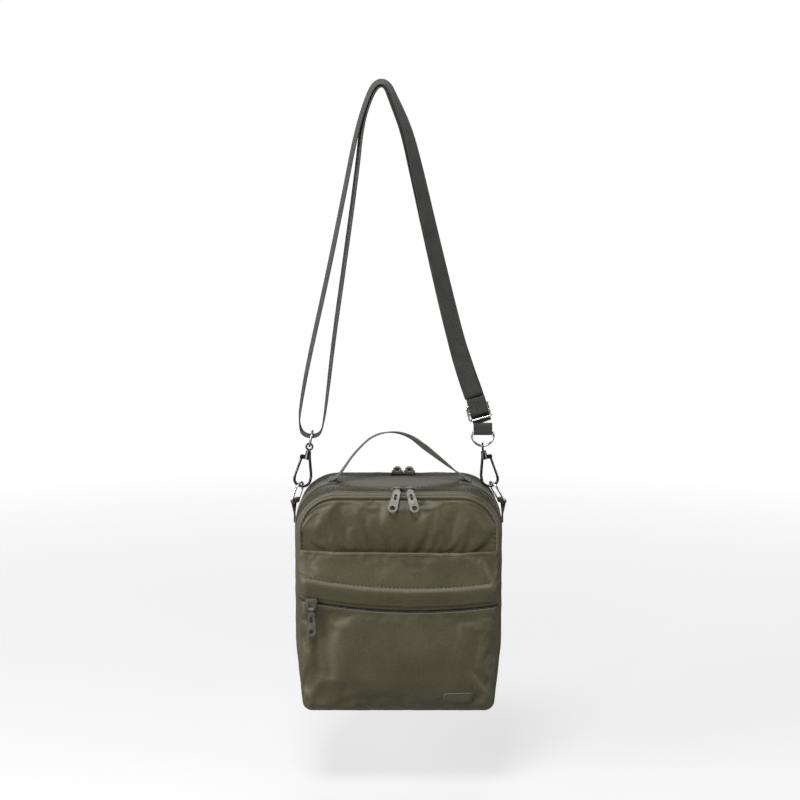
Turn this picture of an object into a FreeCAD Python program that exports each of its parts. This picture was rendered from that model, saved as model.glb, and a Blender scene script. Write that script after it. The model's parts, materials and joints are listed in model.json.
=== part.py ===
import FreeCAD, Part
import math
import os

V = FreeCAD.Vector

# Crossbody bag hanging by its shoulder strap. Millimetres. The origin is the underside of the
# strap's top bend, +Z up, +X to the wearer's right of the front face, and the front faces -Y.

# ---- bag body, front view ----
BAG_X = 14.5              # the bag's centre line; the strap's top bend is off to its left
BAG_TOP = -401.0          # top of the centre gusset
BAG_HEIGHT = 229.0
BAG_HALF_W = 104.0
FOOT_HALF_W = 97.0        # the sides lean in below the knee
KNEE_UP = 72.0            # height of the knee above the bottom
TOP_R = 42.0
KNEE_R = 150.0
FOOT_R = 16.0
BAG_BOTTOM = BAG_TOP - BAG_HEIGHT

# ---- bag body, front to back ----
GUSSET_HALF = 28.0        # half the width of the centre band
GUSSET_WALL = 2.5
ZIP_Y = 40.0              # both main zippers run this far from the middle
ZIP_GAP = 0.6             # between the two rows of coil
TAPE_INSET = 0.8          # the zipper tapes lie this far below the gusset's surface
TAPE_T = 1.2
LID_TAPE_W = 3.7
LID_WALL_END = 48.0       # where each lid's wall meets its panel
LID_WALL_T = 2.2
LID_LEAN = 3.0            # how far the lid wall draws in towards the panel
PIPING_INSET = 3.5
PIPING_W = 3.5
PIPING_T = 2.5
PANEL_INSET = PIPING_INSET + PIPING_W
PAD_T = 3.5               # padding in front of the front panel, above the pocket
PAD_BOTTOM = -466.0
PAD_LEAN = 5.0
REAR_PANEL_T = 5.0
DIVIDER_T = 2.5

# ---- front pocket ----
POCKET_TOP = -457.0
POCKET_GAP = 4.6          # the pocket's mouth, clear of the padding
POCKET_SHEET = 2.0
POCKET_INSET = 3.0        # the pocket's sides cover the piping below its mouth
POCKET_LEAN = 2.5
COVER_T = 2.0             # outer fabric of the zipped pocket
ZIP_END_DROP = 106.5      # the pocket zipper's ends and middle, below the bag's top
ZIP_MID_DROP = 119.5
ZIP_FAR_DROP = 113.0
POCKET_ZIP_HALF = 5.2
FLAP_W = 21.0
FLAP_T = 2.0
FLAP_CLEAR = 1.2          # from the flap's lower edge to the zipper slider
LABEL_W = 30.0
LABEL_H = 12.0
LABEL_T = 1.6

# ---- sliders and pulls ----
SLIDER_HALF_L = 6.0
SLIDER_HALF_W = 4.6
SLIDER_LIFT = 1.1         # slider above the tape, clear of the lid's wall beside it
SLIDER_TOP = 3.3
SLIDER_ROD_OUT = 6.3      # the pull's rod stands ahead of the slider's edge
SLIDER_ROD_UP = 4.8
SLIDER_ROD_R = 0.9
SLIDER_ARM_IN = 2.9
SLIDER_ARM_T = 1.4
PULL_BORE_R = 1.25
PULL_EYE_R = 2.15
PULL_EYE_HALF = 2.4
PULL_L = 28.0
PULL_TOP_W = 7.0
PULL_END_W = 9.6
PULL_T = 1.6
TOP_PULL_DROP = 52.0      # how far below level a hanging top pull points, degrees
POCKET_PULL_DROP = 2.0
FRONT_SPLAY = 14.0        # the two pulls of a pair hang apart, degrees
SLIDERS_MEET_X = 19.5
SLIDER_SPACE = 0.5
POCKET_SLIDER_X = -73.0

# ---- webbing ----
WEB_W = 19.0
WEB_T = 1.4
BASE_T = 1.6
BASE_BOTTOM = -458.0
WEB_LAY = 0.1             # webbing lies this far off the cloth below it

# ---- rings and hooks ----
RING_R = 1.15             # wire of the D-rings
RING_FIT = 0.4            # webbing to the ring's legs, each side
STRAP_RING_W = WEB_W + 2 * RING_FIT + 4 * RING_R
STRAP_RING_H = 14.0
BAG_RING_W = 19.0
BAG_RING_YAW = 24.0
BAR_CLEAR = 0.35          # cloth and webbing from the bars they go round
TAB_T = 1.5
TAB_TAIL = 22.0
RING_HANG = 1.3           # between a bag ring and the hook's wire below it
BAR_OUT = 1.9             # bag ring's bar, outside the bag's side
BAR_DROP = 19.6           # and below its top
LEFT_RING = V(-73.5, 0.0, -350.0)
RIGHT_RING = V(100.4, 0.0, -349.5)
LEFT_HANG = V(-0.2, 0, -0.98)
RIGHT_HANG = V(0, 0, -1)
HOOK_TILT = 9.6
HOOK_WIRE_R = 1.4
EYE_R = 3.2
EYE_WIRE_R = 1.0
EYE_CLEAR = 0.3           # a swivel's eye from the ring it hangs on
HOOK_TURN_X = 1.6         # sideways centre of the hook's lower bend, from the eye's axis
HOOK_BEND_R = 8.2
HOOK_BEND_DROP = 33.6     # centre of that bend below the eye
KNUCKLE = (5.9, 11.5)     # gate pivot: sideways and down from the eye
GATE_CLEAR = 0.5
PIN_R = 0.78
HEAD_START = 0.5          # the hook's head, below its swivel's eye
HEAD_L = 8.4
HEAD_TOP_R = 2.6
HEAD_END_R = 3.6
POST_R = 0.95             # the swivel's post and the stop at its end
POST_L = 6.2
POST_BORE_R = 1.25
STOP_R = 1.7
STOP_T = 0.9
SEAT_R = 2.1
SEAT_L = 4.4
LEG_START = (-1.9, 10.5)  # where the hook's wire leaves its head
CHEEK_T = 0.9
CHEEK_OUT = 2.4           # outer face of each cheek, from the hook's middle
RIVET_HEAD_R = 1.5
RIVET_HEAD_T = 0.5
RIVET_HALF = 2.7

# ---- adjuster on the strap ----
GLIDE = V(96.2, 0.0, -328.0)
GLIDE_H = 17.0
GLIDE_WIRE_R = 1.2
GLIDE_W = WEB_W + 2 * RING_FIT + 4 * GLIDE_WIRE_R
GLIDE_FACE = 84.0         # how far its face is turned to the front
GLIDE_TILT = 14.0         # lean of the strap's lower end from upright

GLIDE_LOOP = 15.0         # how far each sewn loop runs up from its bar
END_LOOP = 9.5
LOOP_SEAM = 5.0

# ---- strap: control points, each with the angle its face is turned to the front ----
OUTER_ROUTE = [
    (91.0, 0.0, -312.5, 82.0),
    (83.0, 0.0, -290.5, 75.0),
    (70.5, 0.0, -247.0, 60.0),
    (50.3, 0.0, -160.5, 46.0),
    (34.0, 0.0, -86.5, 36.0),
    (24.0, 0.0, -43.5, 26.0),
    (11.0, 0.0, -13.0, 18.0),
    (3.5, 0.0, 3.6, 14.0),
    (-8.5, 0.0, 3.6, 13.0),
    (-17.5, 0.0, -14.0, 12.0),
    (-28.0, 0.0, -48.5, 12.0),
    (-39.0, 0.0, -103.5, 12.0),
    (-57.0, 0.0, -190.0, 12.0),
    (-76.5, 0.0, -275.0, 11.0),
    (-84.5, 0.0, -318.0, 9.0),
    (-87.2, 0.0, -340.0, 5.0),
    (-82.5, 0.0, -353.2, 0.0),
    (-73.5, 0.0, -353.2, 0.0),
]
INNER_ROUTE = [
    (-73.5, 0.0, -353.2, 0.0),
    (-65.5, 0.0, -353.2, 0.0),
    (-61.5, 0.0, -338.0, 5.0),
    (-57.6, 0.0, -309.0, 9.0),
    (-51.0, 0.0, -253.5, 11.0),
    (-38.8, 0.0, -170.0, 12.0),
    (-26.6, 0.0, -83.0, 12.0),
    (-22.0, 0.0, -38.5, 12.0),
    (-13.8, 0.0, -12.5, 12.0),
    (-6.2, 0.0, 0.75, 13.0),
    (1.9, 0.0, 0.75, 14.0),
    (8.0, 0.9, -14.0, 18.0),
    (20.8, 1.8, -44.0, 26.0),
    (31.6, 2.4, -87.0, 36.0),
    (49.0, 2.7, -161.0, 46.0),
    (70.3, 3.4, -247.5, 60.0),
    (84.0, 5.2, -290.5, 76.0),
    (92.6, 5.1, -313.5, 82.0),
    (96.8, 4.9, -330.5, 85.0),
    (100.2, 2.4, -339.8, 88.0),
]
HANDLE_ROUTE = [
    (-41.5, 0.0, -387.0, 2.0),
    (-30.0, 0.0, -370.0, 4.0),
    (-9.0, 0.0, -349.8, 8.0),
    (21.0, 0.0, -348.8, 16.0),
    (46.0, 0.0, -368.5, 24.0),
    (69.0, 0.0, -387.0, 16.0),
]
LEFT_FOOT_ROUTE = [
    (-57.0, 0.0, -398.4, 0.0),
    (-48.0, 0.0, -396.6, 0.0),
    (-41.9, 0.0, -387.6, 2.0),
]
RIGHT_FOOT_ROUTE = [
    (69.5, 0.0, -387.4, 16.0),
    (79.0, 0.0, -394.8, 6.0),
    (88.5, 0.0, -399.4, 0.0),
]


# ================= outlines and walls =================

def offset_polygon(points, inset):
    """The convex outline `points`, in clockwise order, moved inwards by `inset`."""
    lines = []
    count = len(points)
    for i in range(count):
        a = points[i]
        b = points[(i + 1) % count]
        length = math.hypot(b[0] - a[0], b[1] - a[1])
        along = ((b[0] - a[0]) / length, (b[1] - a[1]) / length)
        inward = (along[1], -along[0])
        lines.append(((a[0] + inward[0] * inset, a[1] + inward[1] * inset), along))
    moved = []
    for i in range(count):
        (px, pz), (dx, dz) = lines[i - 1]
        (qx, qz), (ex, ez) = lines[i]
        t = ((qx - px) * ez - (qz - pz) * ex) / (dx * ez - dz * ex)
        moved.append((px + dx * t, pz + dz * t))
    return moved


def rounded_wire(points, radii, y):
    """A closed outline at depth y, each corner rounded by its own radius."""
    edges = []
    count = len(points)
    spans = []
    for i in range(count):
        corner = V(points[i][0], y, points[i][1])
        before = (V(points[i - 1][0], y, points[i - 1][1]) - corner).normalize()
        nxt = points[(i + 1) % count]
        after = (V(nxt[0], y, nxt[1]) - corner).normalize()
        half = before.getAngle(after) / 2
        back = radii[i] / math.tan(half)
        start = corner + before * back
        end = corner + after * back
        bisector = (before + after).normalize()
        middle = corner + bisector * (radii[i] / math.sin(half) - radii[i])
        spans.append((start, middle, end))
    for i in range(count):
        start, middle, end = spans[i]
        edges.append(Part.Arc(start, middle, end).toShape())
        edges.append(Part.LineSegment(end, spans[(i + 1) % count][0]).toShape())
    return Part.Wire(edges)


def bag_wire(inset, y):
    """The bag's front outline, drawn in by `inset`, at depth y."""
    knee = BAG_BOTTOM + KNEE_UP
    points = [
        (BAG_X - BAG_HALF_W, BAG_TOP),
        (BAG_X + BAG_HALF_W, BAG_TOP),
        (BAG_X + BAG_HALF_W, knee),
        (BAG_X + FOOT_HALF_W, BAG_BOTTOM),
        (BAG_X - FOOT_HALF_W, BAG_BOTTOM),
        (BAG_X - BAG_HALF_W, knee),
    ]
    radii = [TOP_R - inset, TOP_R - inset, KNEE_R, FOOT_R - inset, FOOT_R - inset, KNEE_R]
    return rounded_wire(offset_polygon(points, inset), radii, y)


def slab(levels):
    """A solid through the bag's outline at each (depth, inset)."""
    wires = [bag_wire(inset, y) for y, inset in levels]
    return Part.makeLoft(wires, True, True)


def band(y0, inset0, y1, inset1, thick):
    """A closed band that follows the outline, from depth y0 to y1, `thick` deep inwards."""
    outer = slab([(y0, inset0), (y1, inset1)])
    inner = slab([(y0, inset0 + thick), (y1, inset1 + thick)])
    return outer.cut(inner)


def box(x0, x1, y0, y1, z0, z1):
    """A box between two corners."""
    return Part.makeBox(x1 - x0, y1 - y0, z1 - z0, V(x0, y0, z0))


# ================= ribbons and tubes =================

def corner_arc(points, i):
    """Start, centre, end, radius and turn of the tangent arc at control point i."""
    here = points[i]
    before = points[i - 1] - here
    after = points[i + 1] - here
    turn = math.pi - before.getAngle(after)
    shorter = min(before.Length, after.Length)
    radius = 0.45 * shorter / math.tan(turn / 2)
    back = 0.45 * shorter
    start = here + before.normalize() * back
    end = here + after.normalize() * back
    return start, end, radius, turn


def route_stations(route, step=15.0):
    """Points, directions and face angles along straight runs joined by tangent arcs."""
    points = [V(*p[:3]) for p in route]
    faces = [p[3] for p in route]
    stations = [(points[0], (points[1] - points[0]).normalize(), faces[0])]
    for i in range(1, len(points) - 1):
        start, end, radius, turn = corner_arc(points, i)
        along = (points[i] - points[i - 1]).normalize()
        leaving = (points[i + 1] - points[i]).normalize()
        axis = along.cross(leaving).normalize()
        centre = start + axis.cross(along) * radius
        count = max(2, int(math.ceil(math.degrees(turn) / step)))
        for k in range(count + 1):
            spin = FreeCAD.Rotation(axis, math.degrees(turn) * k / count)
            place = centre + spin.multVec(start - centre)
            stations.append((place, spin.multVec(along), faces[i]))
    stations.append((points[-1], (points[-1] - points[-2]).normalize(), faces[-1]))
    return spread_faces(stations, faces, points)


def spread_faces(stations, faces, points):
    """The face angle of each station, in proportion to its distance along the route."""
    marks = [0.0]
    for i in range(1, len(points)):
        marks.append(marks[-1] + points[i].distanceToPoint(points[i - 1]))
    lengths = [0.0]
    for i in range(1, len(stations)):
        lengths.append(lengths[-1] + stations[i][0].distanceToPoint(stations[i - 1][0]))
    scale = marks[-1] / lengths[-1]
    spread = []
    for (place, along, _), length in zip(stations, lengths):
        at = length * scale
        k = 0
        while k < len(marks) - 2 and at > marks[k + 1]:
            k += 1
        share = min(1.0, max(0.0, (at - marks[k]) / (marks[k + 1] - marks[k])))
        spread.append((place, along, faces[k] + (faces[k + 1] - faces[k]) * share))
    return spread


def ribbon(route, width, thick, side=1.0):
    """Flat webbing along a route. A face angle of 0 turns its edge to the front, 90 its face."""
    wires = []
    for place, along, face in route_stations(route):
        across = along.cross(V(0, 1, 0)).normalize() * side
        level = across.cross(along).normalize()
        if level.y < 0:
            level = level * -1.0
        lean = math.radians(face)
        wide = level * math.cos(lean) + across * math.sin(lean)
        normal = along.cross(wide).normalize()
        a = wide * (width / 2)
        b = normal * (thick / 2)
        corners = [place + a + b, place - a + b, place - a - b, place + a - b]
        wires.append(Part.makePolygon(corners + [corners[0]]))
    return Part.makeLoft(wires, True, True)


def tube(points, radii, wire_r, closed=False):
    """Round wire along straight runs joined by arcs of the given radii."""
    pieces = []
    count = len(points)
    ends = {}
    inner = range(count) if closed else range(1, count - 1)
    for i in inner:
        here = points[i]
        before = (points[i - 1] - here).normalize()
        after = (points[(i + 1) % count] - here).normalize()
        half = before.getAngle(after) / 2
        back = radii[i] / math.tan(half)
        start = here + before * back
        end = here + after * back
        centre = here + (before + after).normalize() * (radii[i] / math.sin(half))
        axis = (before * -1).cross(after).normalize()
        ring = Part.Face(Part.Wire(Part.makeCircle(wire_r, start, before)))
        turn = 180 - math.degrees(2 * half)
        pieces.append(ring.revolve(centre, axis, turn))
        ends[i] = (start, end)
    for i in range(count if closed else count - 1):
        j = (i + 1) % count
        a = ends[i][1] if i in ends else points[i]
        b = ends[j][0] if j in ends else points[j]
        if a.distanceToPoint(b) > 1e-6:
            pieces.append(Part.makeCylinder(wire_r, a.distanceToPoint(b), a, b - a))
    whole = pieces[0]
    for piece in pieces[1:]:
        whole = whole.fuse(piece)
    return whole.removeSplitter()


def turned(shape, centre, axis, angle):
    """A copy of the shape, turned about an axis through `centre`."""
    copy = shape.copy()
    copy.rotate(centre, axis, angle)
    return copy


# ================= the bag's shell =================

def lid(side):
    """One lid's wall, piping and zipper tape; side is -1 at the front and 1 at the back."""
    start = side * (ZIP_Y + ZIP_GAP / 2)
    tape_end = side * (ZIP_Y + ZIP_GAP / 2 + LID_TAPE_W)
    wall_end = side * LID_WALL_END
    return {
        "zipper_lid_tape": band(start, TAPE_INSET, tape_end, TAPE_INSET, TAPE_T),
        "lid_wall": band(tape_end, 0.0, wall_end, LID_LEAN, LID_WALL_T),
        "piping": band(
            wall_end, PIPING_INSET, wall_end + side * PIPING_T, PIPING_INSET, PIPING_W
        ),
    }


def body_tape(side):
    """The zipper tape sewn to the centre gusset."""
    start = side * GUSSET_HALF
    end = side * (ZIP_Y - ZIP_GAP / 2)
    return band(start, TAPE_INSET, end, TAPE_INSET, TAPE_T)


PIPE_FACE = LID_WALL_END + PIPING_T
PAD_FACE = PIPE_FACE + PAD_T
SHEET_FACE = PAD_FACE + POCKET_GAP + POCKET_SHEET
COVER_FACE = SHEET_FACE + COVER_T
POCKET_FACE_INSET = POCKET_INSET + POCKET_LEAN


def front_panel():
    """The flat panel inside the piping."""
    return slab([(-LID_WALL_END, PANEL_INSET), (-PIPE_FACE, PANEL_INSET)])


def front_pad():
    """The padding on the front panel above the pocket."""
    pad = slab([(-PIPE_FACE, PANEL_INSET), (-PAD_FACE, PANEL_INSET + PAD_LEAN)])
    return pad.common(box(-200, 200, -PAD_FACE - 1, 0, PAD_BOTTOM, 0)).cut(pocket_panel())


def rear_panel():
    """The padded back of the bag."""
    end = LID_WALL_END + REAR_PANEL_T
    edge = [(LID_WALL_END, PANEL_INSET), (PIPE_FACE, PANEL_INSET)]
    return slab(edge + [(end, PANEL_INSET + PAD_LEAN)])


def divider():
    """The sheet that parts the two compartments, sewn all round inside the gusset."""
    return slab([(-DIVIDER_T / 2, GUSSET_WALL), (DIVIDER_T / 2, GUSSET_WALL)])


# ================= the front pocket =================

def zip_curve():
    """Centre and radius of the arc that the pocket zipper follows."""
    a = (BAG_X - BAG_HALF_W, BAG_TOP - ZIP_END_DROP)
    b = (BAG_X, BAG_TOP - ZIP_MID_DROP)
    c = (BAG_X + BAG_HALF_W, BAG_TOP - ZIP_FAR_DROP)
    d = 2 * (a[0] * (b[1] - c[1]) + b[0] * (c[1] - a[1]) + c[0] * (a[1] - b[1]))
    sa = a[0] ** 2 + a[1] ** 2
    sb = b[0] ** 2 + b[1] ** 2
    sc = c[0] ** 2 + c[1] ** 2
    x = (sa * (b[1] - c[1]) + sb * (c[1] - a[1]) + sc * (a[1] - b[1])) / d
    z = (sa * (c[0] - b[0]) + sb * (a[0] - c[0]) + sc * (b[0] - a[0])) / d
    return x, z, math.hypot(a[0] - x, a[1] - z)


CURVE_X, CURVE_Z, CURVE_R = zip_curve()


def sector(above, below, y0, y1):
    """The stretch between two arcs that run `above` and `below` the pocket's zipper."""
    height = y1 - y0
    start = V(CURVE_X, y0, CURVE_Z)
    big = Part.makeCylinder(CURVE_R + below, height, start, V(0, 1, 0))
    small = Part.makeCylinder(CURVE_R - above, height, start, V(0, 1, 0))
    return big.cut(small).common(box(-200, 200, y0, y1, BAG_BOTTOM - 5, BAG_TOP))


def pocket_panel():
    """The slip pocket: a tray on the front panel, open at the top."""
    outer = slab([(-PIPE_FACE, POCKET_INSET), (-SHEET_FACE, POCKET_FACE_INSET)])
    hollow_face = SHEET_FACE - POCKET_SHEET
    hollow_start = (-PIPE_FACE, POCKET_INSET + POCKET_SHEET)
    inner = slab([hollow_start, (-hollow_face, POCKET_FACE_INSET + POCKET_SHEET)])
    tray = outer.cut(inner)
    return tray.cut(box(-200, 200, -SHEET_FACE - 1, 0, POCKET_TOP, BAG_TOP))


def pocket_cover(above, below, thick):
    """A piece of the zipped pocket's outer fabric between two arcs."""
    inset = POCKET_FACE_INSET
    sheet = slab([(-SHEET_FACE, inset), (-SHEET_FACE - thick, inset + thick)])
    return sheet.common(sector(above, below, -SHEET_FACE - thick, -SHEET_FACE))


def pocket_upper_band():
    """The fabric between the slip pocket's mouth and the zipper."""
    inset = POCKET_FACE_INSET
    sheet = slab([(-SHEET_FACE, inset), (-COVER_FACE, inset + COVER_T)])
    sheet = sheet.common(box(-200, 200, -COVER_FACE, -SHEET_FACE, BAG_BOTTOM, POCKET_TOP - 1.0))
    return sheet.cut(sector(POCKET_ZIP_HALF, BAG_HEIGHT, -COVER_FACE - 1, -SHEET_FACE + 1))


def pocket_flap():
    """The folded flap over the pocket's zipper."""
    inset = POCKET_FACE_INSET + COVER_T
    sheet = slab([(-COVER_FACE, inset), (-COVER_FACE - FLAP_T, inset)])
    lower = SLIDER_HALF_W + FLAP_CLEAR
    return sheet.common(sector(lower + FLAP_W, -lower, -COVER_FACE - FLAP_T, -COVER_FACE))


def label_tab():
    """A plain rounded patch at the lower right corner of the pocket."""
    x1 = BAG_X + FOOT_HALF_W - 22.0
    z0 = BAG_BOTTOM + 13.0
    flat = box(x1 - LABEL_W, x1, -COVER_FACE - LABEL_T, -COVER_FACE, z0, z0 + LABEL_H)
    upright = [e for e in flat.Edges if abs(e.tangentAt(e.FirstParameter).y) > 0.9]
    return flat.makeFillet(3.0, upright)


# ================= sliders and pulls =================

def slider_solid():
    """A zipper slider: travel along X, cloth below it in Z, its pull hanging towards -Y."""
    plate = box(
        -SLIDER_HALF_L, SLIDER_HALF_L, -SLIDER_HALF_W, SLIDER_HALF_W, SLIDER_LIFT, SLIDER_TOP
    )
    upright = [e for e in plate.Edges if abs(e.tangentAt(e.FirstParameter).z) > 0.9]
    plate = plate.makeFillet(2.0, upright)
    solid = plate
    top = SLIDER_ROD_UP + SLIDER_ROD_R
    for side in (-1, 1):
        inner = side * SLIDER_ARM_IN
        outer = side * (SLIDER_ARM_IN + SLIDER_ARM_T)
        x0, x1 = sorted((inner, outer))
        arm = box(x0, x1, -SLIDER_ROD_OUT, 1.5, SLIDER_ROD_UP - SLIDER_ROD_R, top)
        post = box(x0, x1, -SLIDER_HALF_W + 1.0, 1.5, SLIDER_TOP - 0.2, top)
        solid = solid.fuse(arm).fuse(post)
        knob = Part.makeCylinder(
            SLIDER_ROD_R, x1 - x0, V(x0, -SLIDER_ROD_OUT, SLIDER_ROD_UP), V(1, 0, 0)
        )
        solid = solid.fuse(knob)
    reach = SLIDER_ARM_IN + SLIDER_ARM_T / 2
    rod = Part.makeCylinder(
        SLIDER_ROD_R, 2 * reach, V(-reach, -SLIDER_ROD_OUT, SLIDER_ROD_UP), V(1, 0, 0)
    )
    return solid.fuse(rod).removeSplitter()


def pull_solid(splay):
    """A pull tab in its own plane: the rod's axis is X, and the tab runs down along -Z."""
    eye = Part.makeCylinder(PULL_EYE_R, 2 * PULL_EYE_HALF, V(-PULL_EYE_HALF, 0, 0), V(1, 0, 0))
    neck = box(-PULL_EYE_HALF, PULL_EYE_HALF, -PULL_T / 2, PULL_T / 2, -6.0, -PULL_BORE_R)
    end_r = PULL_END_W / 2
    start = -PULL_EYE_R - SLIDER_ROD_R - 0.6
    centre_z = -PULL_L + end_r
    half = PULL_TOP_W / 2
    arc = Part.Arc(
        V(end_r, -PULL_T / 2, centre_z),
        V(0, -PULL_T / 2, centre_z - end_r),
        V(-end_r, -PULL_T / 2, centre_z),
    )
    edges = [
        Part.LineSegment(V(-half, -PULL_T / 2, start), V(half, -PULL_T / 2, start)).toShape(),
        Part.LineSegment(V(half, -PULL_T / 2, start), V(end_r, -PULL_T / 2, centre_z)).toShape(),
        arc.toShape(),
        Part.LineSegment(V(-end_r, -PULL_T / 2, centre_z), V(-half, -PULL_T / 2, start)).toShape(),
    ]
    tab = Part.Face(Part.Wire(edges)).extrude(V(0, PULL_T, 0))
    hole = Part.makeCylinder(2.6, 2 * PULL_T, V(0, -PULL_T, centre_z), V(0, 1, 0))
    slot = box(-1.3, 1.3, -PULL_T, PULL_T, -14.0, -7.5)
    tab = turned(tab.cut(hole).cut(slot), V(0, 0, start), V(0, 1, 0), splay)
    bore = Part.makeCylinder(PULL_BORE_R, 20, V(-10, 0, 0), V(1, 0, 0))
    return eye.fuse(neck).fuse(tab).cut(bore).removeSplitter()


def top_slider(x, side):
    """The slider of a main zipper at x; side is -1 at the front and 1 at the back."""
    surface = BAG_TOP - TAPE_INSET
    shape = slider_solid()
    if side > 0:
        shape.rotate(V(0, 0, 0), V(0, 0, 1), 180)
    shape.translate(V(x, side * ZIP_Y, surface))
    return shape


def top_pull(x, side, splay):
    """The pull of a main zipper's slider, hanging over the piping."""
    shape = pull_solid(splay)
    shape.rotate(V(0, 0, 0), V(1, 0, 0), side * (90 - TOP_PULL_DROP))
    pivot = rod_place(x, side)
    shape.translate(pivot)
    return shape


def rod_place(x, side):
    """Centre of a main zipper slider's rod."""
    surface = BAG_TOP - TAPE_INSET
    return V(x, side * (ZIP_Y + SLIDER_ROD_OUT), surface + SLIDER_ROD_UP)


def pocket_slider_place():
    """Where the pocket slider's centre lies on the zipper's arc."""
    drop = math.sqrt(CURVE_R ** 2 - (POCKET_SLIDER_X - CURVE_X) ** 2)
    return V(POCKET_SLIDER_X, -SHEET_FACE - TAPE_T, CURVE_Z - drop)


def pocket_slider():
    """The pocket's slider, standing upright on its zipper."""
    shape = slider_solid()
    shape.rotate(V(0, 0, 0), V(1, 0, 0), 90)
    shape.translate(pocket_slider_place())
    return shape


def pocket_rod_place():
    """Centre of the pocket slider's rod."""
    return pocket_slider_place() + V(0, -SLIDER_ROD_UP, -SLIDER_ROD_OUT)


def pocket_pull():
    """The pocket's pull, hanging straight down."""
    shape = pull_solid(0.0)
    shape.rotate(V(0, 0, 0), V(1, 0, 0), POCKET_PULL_DROP)
    shape.translate(pocket_rod_place())
    return shape


# ================= webbing sewn to the bag =================

def handle_base(side):
    """Webbing sewn over the gusset's corner; side is -1 at the left and 1 at the right."""
    ring = band(-WEB_W / 2, -WEB_LAY - BASE_T, WEB_W / 2, -WEB_LAY - BASE_T, BASE_T)
    edge = BAG_X + side * (BAG_HALF_W - TOP_R)
    far = BAG_X + side * (BAG_HALF_W + 20.0)
    x0, x1 = sorted((edge, far))
    return ring.common(box(x0, x1, -WEB_W, WEB_W, BASE_BOTTOM, BAG_TOP + 10))


def ring_tab(bar, hook_bottom, side):
    """A fold of cloth round a bag ring's bar, with its tail sewn to the side of the bag."""
    inner_r = RING_R + BAR_CLEAR
    outer_r = inner_r + TAB_T
    half = BAG_RING_W / 2 - RING_R - 2.4
    axis, _, _ = ring_axes(bar, hook_bottom, side)
    start = bar - axis * half
    loop = Part.makeCylinder(outer_r, 2 * half, start, axis)
    x_wall = BAG_X + side * (BAG_HALF_W + WEB_LAY + BASE_T + 0.05)
    x0, x1 = sorted((x_wall, x_wall + side * TAB_T))
    tail = box(x0, x1, -half, half, bar.z - TAB_TAIL, bar.z - inner_r - 0.4)
    solid = loop.fuse(tail)
    keep = Part.makeCylinder(inner_r, 60, bar - axis * 30, axis)
    return solid.cut(keep).removeSplitter()


def ring_axes(bar, hook_bottom, side):
    """A bag ring's bar direction, the direction of its bend, and how far the bend reaches."""
    top = hook_bottom + V(0, 0, HOOK_WIRE_R + RING_R + RING_HANG)
    reach = top - bar
    up = V(reach.x, reach.y, reach.z).normalize()
    yaw = math.radians(BAG_RING_YAW) * -side
    across = V(math.sin(yaw), math.cos(yaw), 0)
    across = (across - up * across.dot(up)).normalize()
    return across, up, reach.Length


# ================= rings, hooks and adjuster =================

def d_ring(bar, width, height, wire_r, bar_axis, hang_axis):
    """A D-ring: its straight bar centred at `bar`, its bend `height` away along hang_axis."""
    half = width / 2 - wire_r
    bend = half - 0.01
    points = [
        bar - bar_axis * half,
        bar - bar_axis * half + hang_axis * height,
        bar + bar_axis * half + hang_axis * height,
        bar + bar_axis * half,
    ]
    radii = [2.0, bend, bend, 2.0]
    return tube(points, radii, wire_r, closed=True)


def bag_ring(bar, hook_bottom, side):
    """The ring that hangs the bag from a hook's lower bend."""
    across, up, reach = ring_axes(bar, hook_bottom, side)
    return d_ring(bar, BAG_RING_W, reach, RING_R, across, up)


def hook_point(eye, side, across, down):
    """A place in a hook's plane: `across` towards its gate, `down` from its eye."""
    tilt = math.radians(HOOK_TILT)
    right = V(math.cos(tilt) * side, 0, math.sin(tilt))
    below = V(math.sin(tilt) * side, 0, -math.cos(tilt))
    return eye + right * across + below * down


def strap_eye(side):
    """Centre of a hook's swivel eye, hanging on its strap ring."""
    ring, hang = (LEFT_RING, LEFT_HANG) if side < 0 else (RIGHT_RING, RIGHT_HANG)
    slack = EYE_R - EYE_WIRE_R - RING_R - EYE_CLEAR
    return ring + V(hang.x, hang.y, hang.z).normalize() * (STRAP_RING_H + slack)


def bag_bar(side):
    """Centre of a bag ring's bar."""
    return V(BAG_X + side * (BAG_HALF_W + BAR_OUT), 0, BAG_TOP - BAR_DROP)


def hook_axis(side):
    """Direction down the hook's swivel."""
    tilt = math.radians(HOOK_TILT)
    return V(math.sin(tilt) * side, 0, -math.cos(tilt))


def swivel_eye(eye, side, ring_axis):
    """The small ring of a hook, with the post that the hook turns on."""
    ring = Part.makeTorus(EYE_R, EYE_WIRE_R, eye, ring_axis)
    down = hook_axis(side)
    post_start = EYE_R + 0.3
    post = Part.makeCylinder(POST_R, POST_L, eye + down * post_start, down)
    stop = Part.makeCylinder(STOP_R, STOP_T, eye + down * (EYE_R + POST_L + 0.2), down)
    return ring.fuse(post).fuse(stop).removeSplitter()


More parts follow.
